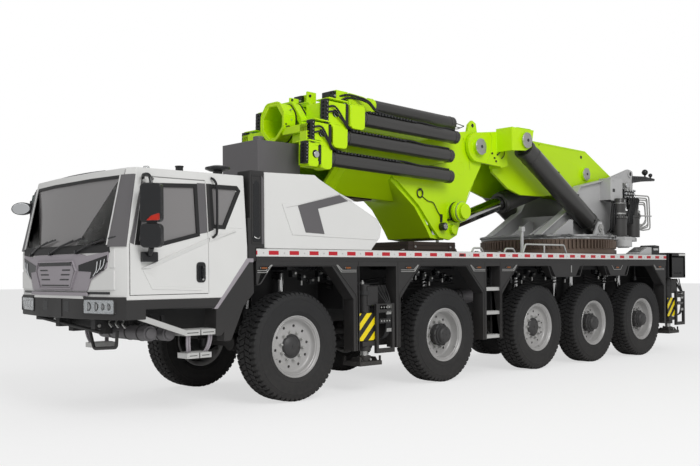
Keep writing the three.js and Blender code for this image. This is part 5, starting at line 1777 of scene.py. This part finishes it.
def makeArmTrim():
    bm = bmesh.new()
    addPinCap(bm, 0.64, 4.3, 3.54, 0.13, 0, 0.02)
    addPinCap(bm, 0.905, 5.16, 3.69, 0.13, 0, 0.024)
    addPinCap(bm, 0.45, 7.65, 3.35, 0.115, 0, 0.02)
    finishPair("armPins", bm, [zincSteel, castIron], "inner_arm", 0.003)
    bm = bmesh.new()
    # cover folds and fittings on the luff bracket, lifting holes and edge beads on the arm
    softTube(bm, [(0.878, 4.8, 3.5), (0.878, 4.8, 3.88)], 0.008, 0, 6)
    addTube(bm, [(0.402, 6.1, 3.795), (0.402, 7.66, 3.758)], 0.006, 0, 6)
    softTube(bm, [(0.58, 4.5, 3.3), (0.58, 4.62, 3.45), (0.58, 4.66, 3.7), (0.58, 4.62, 3.8)],
        0.006, 0, 6)
    addBox(bm, (0.57, 4.93, 3.878), (0.88, 5.3, 3.888))
    finishPair("armBeads", bm, [limeEnamel], "inner_arm", 0.002)
    bm = bmesh.new()
    # the lifting holes are two thin black discs on the arm's side: painted shade in place of holes
    rodX(bm, 0.399, 0.404, 7.55, 3.66, 0.03, 0, 20)
    rodX(bm, 0.399, 0.404, 6.22, 3.77, 0.012, 0, 12)
    rodX(bm, 0.574, 0.6, 4.86, 3.66, 0.042, 0, 20)
    rodX(bm, 0.598, 0.612, 4.86, 3.66, 0.028, 1, 16)
    for y, z in ((4.8, 3.46), (4.72, 3.4), (4.66, 3.47), (4.76, 3.35)):
        rodX(bm, 0.574, 0.592, y, z, 0.016, 0, 10)
    softTube(bm, [(0.585, 4.86, 3.64), (0.6, 4.9, 3.56), (0.6, 4.84, 3.5), (0.588, 4.8, 3.46)],
        0.008, 0, 6)
    softTube(bm, [(0.585, 4.93, 3.62), (0.595, 4.97, 3.56), (0.6, 4.95, 3.46), (0.588, 4.9, 3.4)],
        0.008, 0, 6)
    finishPair("armFittings", bm, [blackMoulding, zincSteel], "inner_arm", 0.002)


makeArmTrim()


def alongLuff(distance, across=0.0):
    foot, head = Vector((7.45, 2.33)), Vector((5.16, 3.69))
    ahead = (head - foot).normalized()
    side = Vector((ahead.y, -ahead.x))
    if side.y < 0:
        side.negate()
    place = foot + ahead * distance + side * across
    return place.x, place.y


def makeCylinderTrim():
    for side in ("left", "right"):
        bm = bmesh.new()
        for start, end, radius in ((0.2, 0.26, 0.176), (2.2, 2.26, 0.175), (2.4, 2.472, 0.178)):
            y0, z0 = alongLuff(start)
            y1, z1 = alongLuff(end)
            addRod(bm, (0.72, y0, z0), (0.72, y1, z1), radius, 0, 40)
        y0, z0 = alongLuff(2.472)
        y1, z1 = alongLuff(2.51)
        addRod(bm, (0.72, y0, z0), (0.72, y1, z1), 0.135, 1, 32)
        path = [alongLuff(d, o) for d, o in ((0.3, 0.168), (0.34, 0.19), (2.16, 0.19),
            (2.22, 0.166))]
        bentTube(bm, [(0.755, y, z) for y, z in path], 0.02, 0.016, 2, 10)
        for d in (0.8, 1.5):
            y, z = alongLuff(d, 0.18)
            addBox(bm, (0.735, y - 0.03, z - 0.02), (0.775, y + 0.03, z + 0.02), 1)
        turnOver(bm, side)
        finishPiece("luffTrim" + side.title(), bm, [charcoalEnamel, blackMoulding, zincSteel],
            "luff_barrel_" + side, 0.003)
    bm = bmesh.new()
    rear, front = Vector((7.65, 3.35)), Vector((3.78, 2.2))
    ahead = (front - rear).normalized()
    for start, end, radius, slot in ((0.1, 0.18, 0.193, 0), (2.0, 2.06, 0.192, 0)):
        a, b = rear + ahead * start, rear + ahead * end
        addRod(bm, (0, a.x, a.y), (0, b.x, b.y), radius, slot, 36)
    up = Vector((-ahead.y, ahead.x))
    if up.y < 0:
        up.negate()
    a, b = rear + ahead * 0.3 + up * 0.197, rear + ahead * 1.9 + up * 0.197
    addTube(bm, [(0.06, a.x, a.y), (0.06, b.x, b.y)], 0.013, 1, 8)
    finishPiece("foldTrim", bm, [charcoalEnamel, zincSteel], "fold_barrel", 0.003)


makeCylinderTrim()
print("stage: boom dressed")

# slewing gear, turntable ribs, drives and tail fittings

slewing = {
    "centre": 7.03,
    "ringRadius": 1.19,
    "teeth": 104,
    "motor": (0.8, 8.18),
}


def makeGear():
    bm = bmesh.new()
    radius = slewing["ringRadius"]
    for turn in aroundAxle(slewing["teeth"]):
        tooth = addPlate(bm, [(radius - 0.004, -0.021, 1.95), (radius + 0.026, -0.012, 1.95),
            (radius + 0.026, 0.012, 1.95), (radius - 0.004, 0.021, 1.95)], (0, 0, 0.145))
        bmesh.ops.rotate(bm, cent=(0, 0, 0), matrix=Matrix.Rotation(turn, 3, "Z"), verts=tooth)
    bmesh.ops.translate(bm, verts=bm.verts, vec=(0, slewing["centre"], 0))
    rodZ(bm, 0, slewing["centre"], 1.852, 1.925, radius + 0.03, 0, 96)
    carrierPiece("slewTeeth", bm, [oiledSteel], 0.002, 1)


makeGear()


def tableRule(centre, normal):
    motorX, motorY = slewing["motor"]
    if math.hypot(centre.x - motorX, centre.y - motorY) < 0.112 and centre.z < 2.91:
        return 1
    if centre.y > 9.14 and 0.47 < centre.x < 0.54 and 3.28 < centre.z < 3.41:
        return 1
    return 0


refined("turntable", "turntable", [machineGrey, charcoalEnamel], 0.006, rule=tableRule)


def makeTableRibs():
    bm = bmesh.new()
    edge = [(5.98, 2.17), (6.85, 2.64), (7.23, 3.08), (8.05, 3.24)]
    for (y0, z0), (y1, z1) in zip(edge, edge[1:]):
        addPlate(bm, [(0.44, y0, z0), (0.6, y0, z0), (0.6, y1, z1), (0.44, y1, z1)],
            (0, -0.006, 0.022))
    for x, rear in ((0.7, 6.78), (0.2, 6.86)):
        addSidePlate(bm, [(6.12, 2.17), (rear, 2.17), (rear, 2.46), (rear - 0.1, 2.47)], x - 0.016,
            x + 0.016)
    addSidePlate(bm, [(8.62, 2.17), (8.86, 2.17), (8.86, 2.72), (8.74, 2.6)], 0.53, 0.66)
    # rim of the plate with its lightening step
    for reach, low, high in ((1.225, 2.15, 2.186), (1.2, 2.118, 2.15)):
        rodZ(bm, 0, slewing["centre"], low, high, reach, 0, 96)
    # pads round the tail's pin holes and the boss at the top of each cheek
    rodX(bm, 0.528, 0.548, 9.06, 3.44, 0.075, 0, 24)
    rodX(bm, 0.528, 0.575, 8.6, 3.15, 0.155, 0, 36)
    finishPair("tableRibs", bm, [machineGrey], "turntable", 0.005)
    bm = bmesh.new()
    # the pin hole in the pad is a thin black disc: painted shade
    rodX(bm, 0.546, 0.551, 9.06, 3.44, 0.04, 0, 20)
    for k in range(24):
        turn = math.tau * (k + 0.5) / 24
        x, y = 1.155 * math.cos(turn), slewing["centre"] + 1.155 * math.sin(turn)
        if abs(x) > 0.62 or y < 6.2:
            rodZ(bm, x, y, 2.184, 2.202, 0.017, 1, 6)
    # the foot pins of the luffing cylinders with their keeper plates
    for x in (0.845, 0.58):
        rodX(bm, x, x + 0.03, 7.45, 2.33, 0.072, 1, 28)
    rodX(bm, 0.872, 0.884, 7.45, 2.33, 0.036, 1, 20)
    addBox(bm, (0.845, 7.44, 2.215), (0.862, 7.53, 2.26), 1)
    finishPair("tableFittings", bm, [blackMoulding, zincSteel], "turntable", 0.003)


makeTableRibs()


def makeDrives():
    motorX, motorY = slewing["motor"]
    bm = bmesh.new()
    for low, high, radius, slot in ((2.185, 2.215, 0.165, 0), (2.215, 2.52, 0.138, 0),
            (2.52, 2.545, 0.15, 0), (2.6, 2.63, 0.125, 1), (2.63, 2.8, 0.118, 0),
            (2.8, 2.815, 0.128, 1)):
        rodZ(bm, motorX, motorY, low, high, radius, slot, 36)
    for turn in aroundAxle(10):
        x, y = motorX + 0.142 * math.cos(turn), motorY + 0.142 * math.sin(turn)
        rodZ(bm, x, y, 2.54, 2.56, 0.01, 1, 6)
    for low, high, radius in ((2.19, 2.56, 0.125), (2.56, 2.6, 0.135), (2.6, 2.83, 0.095)):
        rodZ(bm, 0.78, 8.72, low, high, radius, 0, 32)
    addBox(bm, (0.7, 8.62, 2.72), (0.86, 8.8, 2.9))
    finishPiece("slewDrives", bm, [charcoalEnamel, zincSteel], "turntable", 0.005)
    bm = bmesh.new()
    rodZ(bm, 1.0, 7.98, 1.99, 2.122, 0.15, 0, 36)
    rodZ(bm, 1.0, 7.98, 1.975, 1.992, 0.105, 0, 32)
    addPlate(bm, [(0.86, 7.8, 2.12), (1.1, 7.86, 2.12), (1.1, 8.1, 2.12), (0.86, 8.22, 2.12)],
        (0, 0, 0.055))
    addSidePlate(bm, roundedOutline(oblong(7.965, 8.375, 2.86, 3.28), 0.015, 3), 0.752, 0.768)
    addBox(bm, (0.52, 7.955, 3.262), (0.768, 8.375, 3.278))
    finishPiece("slewGearbox", bm, [machineGrey], "turntable", 0.006)


makeDrives()


# Valves, black hoses and bright pipes packed behind the valve box.
def makeTailFittings():
    bm = bmesh.new()
    addBox(bm, (0.6, 8.4, 2.9), (0.78, 8.78, 3.1))
    addBox(bm, (0.62, 8.5, 3.1), (0.74, 8.66, 3.22), 1)
    for row, z in enumerate((2.94, 3.01, 3.07)):
        for k in range(6):
            y = 8.43 + 0.062 * k
            rodX(bm, 0.775, 0.815 + 0.012 * ((k + row) % 3), y, z, 0.021, (k + row) % 2 + 1, 12)
    for k in range(5):
        y = 8.42 + 0.085 * k
        rodZ(bm, 0.7, y, 3.09, 3.15 + 0.02 * (k % 2), 0.026, 1 + k % 2, 12)
    for y, z, radius in ((8.48, 3.17, 0.055), (8.4, 2.86, 0.045)):
        rodX(bm, 0.78, 0.815, y, z, radius, 1, 24)
        rodX(bm, 0.812, 0.818, y, z, radius * 0.75, 2, 20)
    addBox(bm, (0.765, 8.02, 3.02), (0.772, 8.1, 3.08))
    addBox(bm, (0.765, 8.0, 3.22), (0.772, 8.06, 3.24), 1)
    addBox(bm, (0.53, 8.93, 2.55), (0.8, 8.965, 2.7))
    finishPiece("tailValves", bm, [blackMoulding, zincSteel, silveredGlass], "turntable", 0.003)
    bm = bmesh.new()
    for k in range(7):
        y = 7.74 + 0.045 * k
        x = 0.79 - 0.03 * (k % 2)
        path = [(x - 0.05, y + 0.25, 2.875), (x, y + 0.24, 2.8), (x + 0.03, y + 0.16 - 0.01 * k,
            2.64), (x + 0.03, y + 0.13, 2.46), (x, y + 0.16, 2.33), (x - 0.08, y + 0.2, 2.27)]
        softTube(bm, path, 0.016)
    for k in range(6):
        y = 8.44 + 0.07 * k
        path = [(0.8, y, 2.94), (0.86, y + 0.01, 2.9), (0.87, y + 0.03 - 0.02 * k, 2.78),
            (0.845, y - 0.02 * k, 2.62), (0.84, y - 0.05, 2.45)]
        softTube(bm, path, 0.016)
    finishPiece("tailHoses", bm, [sealRubber], "turntable")
    bm = bmesh.new()
    for k in range(5):
        inset = 0.042 * k
        x = 0.8 - 0.02 * (k % 2)
        path = [(x, 8.78, 2.99 - inset), (x, 9.3 - inset, 3.0 - inset), (x, 9.34 - inset,
            2.36 + inset), (x, 9.04, 2.33 + inset * 0.6), (x - 0.03, 8.86, 2.36 + inset * 0.6)]
        addTube(bm, roundedPath(path, 0.07, 4), 0.0135)
    for k in range(4):
        path = [(0.82, 8.5 + 0.07 * k, 2.88), (0.84, 8.54 + 0.07 * k, 2.74), (0.83, 8.88 + 0.02 * k,
            2.7 - 0.04 * k), (0.78, 8.93, 2.66 - 0.03 * k)]
        addTube(bm, roundedPath(path, 0.04, 3), 0.012)
    addBox(bm, (0.775, 9.1, 2.6), (0.825, 9.36, 2.625), 1)
    addBox(bm, (0.53, 9.0, 2.6), (0.8, 9.1, 2.625), 1)
    addBox(bm, (0.5, 8.955, 2.55), (0.53, 9.02, 2.68), 1)
    finishPiece("tailPipes", bm, [zincSteel, machineGrey], "turntable", 0.002)
    # camera arm with its two ball lamps
    bm = bmesh.new()
    beam = [(9.14, 3.27), (9.16, 3.41), (9.62, 3.43), (10.02, 3.41), (10.03, 3.375), (9.6, 3.335)]
    addSidePlate(bm, beam, 0.465, 0.545)
    for k in range(7):
        addBox(bm, (0.544, 9.22 + 0.075 * k, 3.345 + 0.006 * k), (0.552, 9.26 + 0.075 * k,
            3.385 + 0.004 * k), 2)
    for y, z, radius in ((9.7, 3.52, 0.06), (9.92, 3.475, 0.04)):
        rodZ(bm, 0.505, y, 3.42, z - radius * 0.6, 0.018, 0, 12)
        bmesh.ops.create_uvsphere(bm, u_segments=24, v_segments=14, radius=radius,
            matrix=Matrix.Translation((0.505, y, z)))
        rodZ(bm, 0.505, y, z - 0.012, z, radius * 1.04, 0, 24)
    finishPiece("cameraArm", bm, [blackMoulding, silveredGlass, castIron], "turntable", 0.004)


makeTailFittings()


def makeDeckBoxes():
    bm = bmesh.new()
    addSidePlate(bm, [(8.2, 1.85), (8.64, 1.85), (8.64, 1.985), (8.5, 1.99), (8.2, 1.875)], 0.92,
        1.2)
    addSidePlate(bm, [(8.26, 1.905), (8.48, 1.99), (8.475, 1.996), (8.255, 1.912)], 0.94, 1.18, 2)
    addSidePlate(bm, [(8.64, 1.85), (8.95, 1.85), (8.95, 2.02), (8.78, 2.03), (8.64, 1.93)], 0.9,
        1.19, 1)
    addBox(bm, (1.19, 8.72, 1.93), (1.198, 8.9, 1.97))
    # an upright post on the deck beside the arm
    addBox(bm, (0.86, 4.94, 1.848), (0.94, 5.06, 1.866))
    rodZ(bm, 0.9, 5.0, 1.86, 2.23, 0.028, 0, 16)
    addBox(bm, (0.87, 4.96, 2.2), (0.93, 5.05, 2.28))
    carrierPair("deckBoxes", bm, [machineGrey, framePaint, zincSteel], 0.006)
    # chequered lines of raised strips on the deck between the boom rest and the ring
    bm = bmesh.new()
    for k in range(9):
        y = 4.05 + 0.19 * k
        addBox(bm, (0.62, y, 1.849), (1.05, y + 0.03, 1.856))
    for x, y in ((0.3, 4.3), (0.3, 4.9), (0.55, 2.3)):
        addBox(bm, (x, y, 1.849), (x + 0.22, y + 0.3, 1.88))
        rodZ(bm, x + 0.11, y + 0.15, 1.88, 1.895, 0.03, 1, 20)
    carrierPair("deckStrips", bm, [darkAcrylic, zincSteel], 0.003)
    # boom rest: bolted timbers on a steel seat
    bm = bmesh.new()
    for z in (1.9, 1.962):
        addBox(bm, (-0.484, 2.756, z - 0.003), (0.484, 3.844, z + 0.003))
    for y in (2.9, 3.7):
        addBox(bm, (-0.49, y - 0.03, 1.85), (0.49, y + 0.03, 2.012), 1)
        rodX(bm, 0.488, 0.505, y, 1.94, 0.02, 2, 6)
    carrierPiece("restTimbers", bm, [sealRubber, oiledHardwood, zincSteel], 0.003)


makeDeckBoxes()
print("stage: turntable dressed")

# underneath: struts, shafts, fittings in the wheel bays and at the rear

under = {
    "axles": (0.0, 2.74, 5.01, 6.65, 8.28),
    "axleHeight": 0.668,
    "strutX": 0.56,
    "rearFace": 9.862,
}


def makeStruts():
    bm = bmesh.new()
    for axle in under["axles"]:
        for offset in (-0.26, 0.26):
            y = axle + offset
            rodZ(bm, under["strutX"], y, 0.74, 1.12, 0.062, 0, 20)
            rodZ(bm, under["strutX"], y, 1.12, 1.56, 0.046, 1, 20)
            addBox(bm, (0.45, y - 0.07, 0.7), (0.62, y + 0.07, 0.76))
            rodX(bm, 0.45, 0.6, y, 1.52, 0.055, 0, 20)
        addPlate(bm, [(0.46, axle + 0.1, 0.8), (0.52, axle + 0.1, 0.8), (0.52, axle + 0.85, 0.96),
            (0.46, axle + 0.85, 0.96)], (0, 0, 0.06))
    carrierPair("axleStruts", bm, [framePaint, hardChrome], 0.004)
    bm = bmesh.new()
    z = under["axleHeight"]
    for front, rear in zip(under["axles"], under["axles"][1:]):
        rodY(bm, 0, front + 0.28, rear - 0.28, z + 0.06, 0.05, 0, 20)
        for y in (front + 0.3, rear - 0.34):
            rodY(bm, 0, y, y + 0.04, z + 0.06, 0.085, 1, 24)
    carrierPiece("driveShafts", bm, [framePaint, castIron], 0.004)


makeStruts()


# Small valves, couplings and hoses that fill the bays above the wheels.
def makeBayFittings():
    bm = bmesh.new()
    for start, count in ((2.05, 9), (4.3, 8), (5.55, 6), (7.2, 7), (0.2, 5)):
        for k in range(count):
            y = start + 0.145 * k
            z = 1.56 - 0.045 * (k % 3)
            addBox(bm, (0.8, y, z - 0.05), (0.88, y + 0.075, z + 0.03))
            rodX(bm, 0.875, 0.905, y + 0.035, z, 0.017, 1, 10)
            if k % 2:
                rodZ(bm, 0.84, y + 0.035, z - 0.05, z - 0.11, 0.014, 1, 8)
        addBox(bm, (0.45, start - 0.05, 1.6), (0.84, start + 0.145 * count, 1.64))
    for y in (4.56, 4.74, 8.62):
        rodZ(bm, 0.86, y, 1.37, 1.45, 0.03, 0, 20)
        rodZ(bm, 0.86, y, 1.46, 1.64, 0.012, 0, 8)
    carrierPair("bayValves", bm, [blackMoulding, zincSteel], 0.003)
    bm = bmesh.new()
    for y0, y1 in ((2.0, 3.5), (4.2, 5.2), (5.3, 6.3), (7.1, 8.2), (0.9, 1.9)):
        for j in range(3):
            z = 1.48 - 0.05 * j
            path = [(0.72, y0, z), (0.74, blendedBy(y0, y1, 0.3), z - 0.06),
                (0.75, blendedBy(y0, y1, 0.65), z - 0.03), (0.72, y1, z)]
            softTube(bm, path, 0.012)
    carrierPair("bayHoses", bm, [sealRubber])
    bm = bmesh.new()
    for y in (3.86, 5.83, 7.46):
        rodY(bm, 0.62, y - 0.22, y + 0.22, 1.18, 0.105, 0, 28)
        for end in (-0.15, 0.15):
            rodY(bm, 0.62, y + end - 0.012, y + end + 0.012, 1.18, 0.11, 1, 28)
        addBox(bm, (0.45, y - 0.16, 1.16), (0.56, y + 0.16, 1.2), 1)
    carrierPair("airTanks", bm, [graphitePaint, framePaint], 0.006)


makeBayFittings()


def makeRearTrim():
    bm = bmesh.new()
    rear = under["rearFace"]
    for z in (1.45, 1.6, 1.75):
        addBox(bm, (-1.12, rear - 0.006, z), (1.12, rear + 0.008, z + 0.012))
    addBox(bm, (-0.32, rear - 0.01, 1.46), (0.32, rear + 0.03, 1.62))
    rodY(bm, 0, rear, rear + 0.07, 1.54, 0.055, 0, 28)
    addBox(bm, (-1.1, rear - 0.004, 1.78), (1.1, rear + 0.006, 1.86), 3)
    for side in (1, -1):
        lampBox = roundedOutline(oblong(side * 0.88 - 0.16, side * 0.88 + 0.16, 1.53, 1.66), 0.02)
        addFrontPlate(bm, lampBox, rear - 0.004, rear + 0.02)
        for k, slot in enumerate((1, 2, 1)):
            middle = side * 0.88 - 0.1 + 0.1 * k
            lens = roundedOutline(oblong(middle - 0.043, middle + 0.043, 1.545, 1.645), 0.012)
            addFrontPlate(bm, lens, rear + 0.016, rear + 0.03, slot)
    addBox(bm, (-0.26, rear, 1.66), (0.26, rear + 0.012, 1.76), 4)
    carrierPiece("rearTrim", bm, [framePaint, redLens, amberLens, edgeSheeting, anodisedAluminium],
        0.003)
    # the box at the rear corner: posts, shelf and the couplings seen between them
    bm = bmesh.new()
    addBox(bm, (1.243, 9.2, 1.42), (1.25, 9.32, 1.88))
    addBox(bm, (1.243, 9.78, 1.42), (1.25, 9.855, 1.83))
    addBox(bm, (1.243, 9.32, 1.8), (1.25, 9.78, 1.83))
    # a black plate behind the couplings fills the gap between the posts: painted shade
    addBox(bm, (1.241, 9.34, 1.43), (1.2475, 9.77, 1.79), 1)
    for k in range(3):
        rodX(bm, 1.246, 1.25, 9.44 + 0.11 * k, 1.5, 0.02, 2, 12)
    carrierPair("rearCorners", bm, [darkAcrylic, blackMoulding, zincSteel], 0.002)


makeRearTrim()
print("stage: underside dressed")

# floor, lamps and camera

studio = {
    "floorHalf": 90.0,
    "floorGlow": 0.62,
    "skyLevel": 0.5,
    "keyPlace": (16.0, -7.0, 13.0),
    "keySize": 9.0,
    "keyPower": 1750.0,
    "fillPlace": (-4.0, -20.0, 9.0),
    "fillSize": 10.0,
    "fillPower": 260.0,
    "lens": 45.88,
    "shift": (0.0214, 0.0516),
    "cameraPlace": (9.491, -10.7155, 1.559),
    "cameraAhead": (-0.738, 0.675, 0.0042),
    "cameraRoll": -0.47,
}


def makeFloor():
    bm = bmesh.new()
    half = studio["floorHalf"]
    bmesh.ops.create_grid(bm, x_segments=1, y_segments=1, size=half)
    mesh = bpy.data.meshes.new("floor")
    bm.to_mesh(mesh)
    bm.free()
    floor = bpy.data.objects.new("floor", mesh)
    bpy.context.scene.collection.objects.link(floor)
    floor.location.z = -0.001
    material, tree, shader = newMaterial("floorPaint")
    shader.inputs["Base Color"].default_value = linear("#f2f2f2")
    shader.inputs["Roughness"].default_value = 0.9
    glow = addNode(tree, "Emission", {"Color": linear("#ffffff"), "Strength": 1.0})
    rays = addNode(tree, "LightPath")
    seen = addNode(tree, "Math", {"operation": "MULTIPLY", 1: studio["floorGlow"]},
                   {0: rays.outputs["Is Camera Ray"]})
    both = addNode(tree, "MixShader", None, {0: seen.outputs["Value"], 1: shader.outputs["BSDF"],
        2: glow.outputs["Emission"]})
    tree.links.new(both.outputs["Shader"], tree.nodes["Material Output"].inputs["Surface"])
    mesh.materials.append(material)


def makeWorld():
    world = bpy.data.worlds.new("studioWalls")
    bpy.context.scene.world = world
    world.use_nodes = True
    tree = world.node_tree
    soft = tree.nodes["Background"]
    soft.inputs["Color"].default_value = linear("#ffffff")
    soft.inputs["Strength"].default_value = studio["skyLevel"]
    wall = addNode(tree, "Background", {"Color": linear("#ffffff"), "Strength": 1.0})
    rays = addNode(tree, "LightPath")
    seen = addNode(tree, "Math", {"operation": "ADD", "use_clamp": True},
                   {0: rays.outputs["Is Camera Ray"], 1: rays.outputs["Is Transmission Ray"]})
    both = addNode(tree, "MixShader", None,
                   {0: seen.outputs["Value"], 1: soft.outputs["Background"],
                    2: wall.outputs["Background"]})
    tree.links.new(both.outputs["Shader"], tree.nodes["World Output"].inputs["Surface"])


def makeLamp(name, place, size, power):
    data = bpy.data.lights.new(name, "AREA")
    data.size = size
    data.energy = power
    lamp = bpy.data.objects.new(name, data)
    bpy.context.scene.collection.objects.link(lamp)
    lamp.location = place
    lamp.rotation_euler = (Vector((0, 0, 1.5)) - Vector(place)).to_track_quat("-Z", "Y").to_euler()


def makeCamera():
    data = bpy.data.cameras.new("viewCamera")
    data.sensor_width = 36.0
    data.lens = studio["lens"]
    data.shift_x, data.shift_y = studio["shift"]
    data.clip_end = 400.0
    camera = bpy.data.objects.new("viewCamera", data)
    bpy.context.scene.collection.objects.link(camera)
    ahead = Vector(studio["cameraAhead"]).normalized()
    turn = ahead.to_track_quat("-Z", "Y").to_matrix().to_4x4()
    roll = Matrix.Rotation(math.radians(studio["cameraRoll"]), 4, "Z")
    camera.matrix_world = Matrix.Translation(studio["cameraPlace"]) @ turn @ roll
    bpy.context.scene.camera = camera


makeFloor()
makeWorld()
makeLamp("keyLamp", studio["keyPlace"], studio["keySize"], studio["keyPower"])
makeLamp("fillLamp", studio["fillPlace"], studio["fillSize"], studio["fillPower"])
makeCamera()
bpy.context.scene.view_settings.view_transform = "Standard"

print("stage: scene ready")
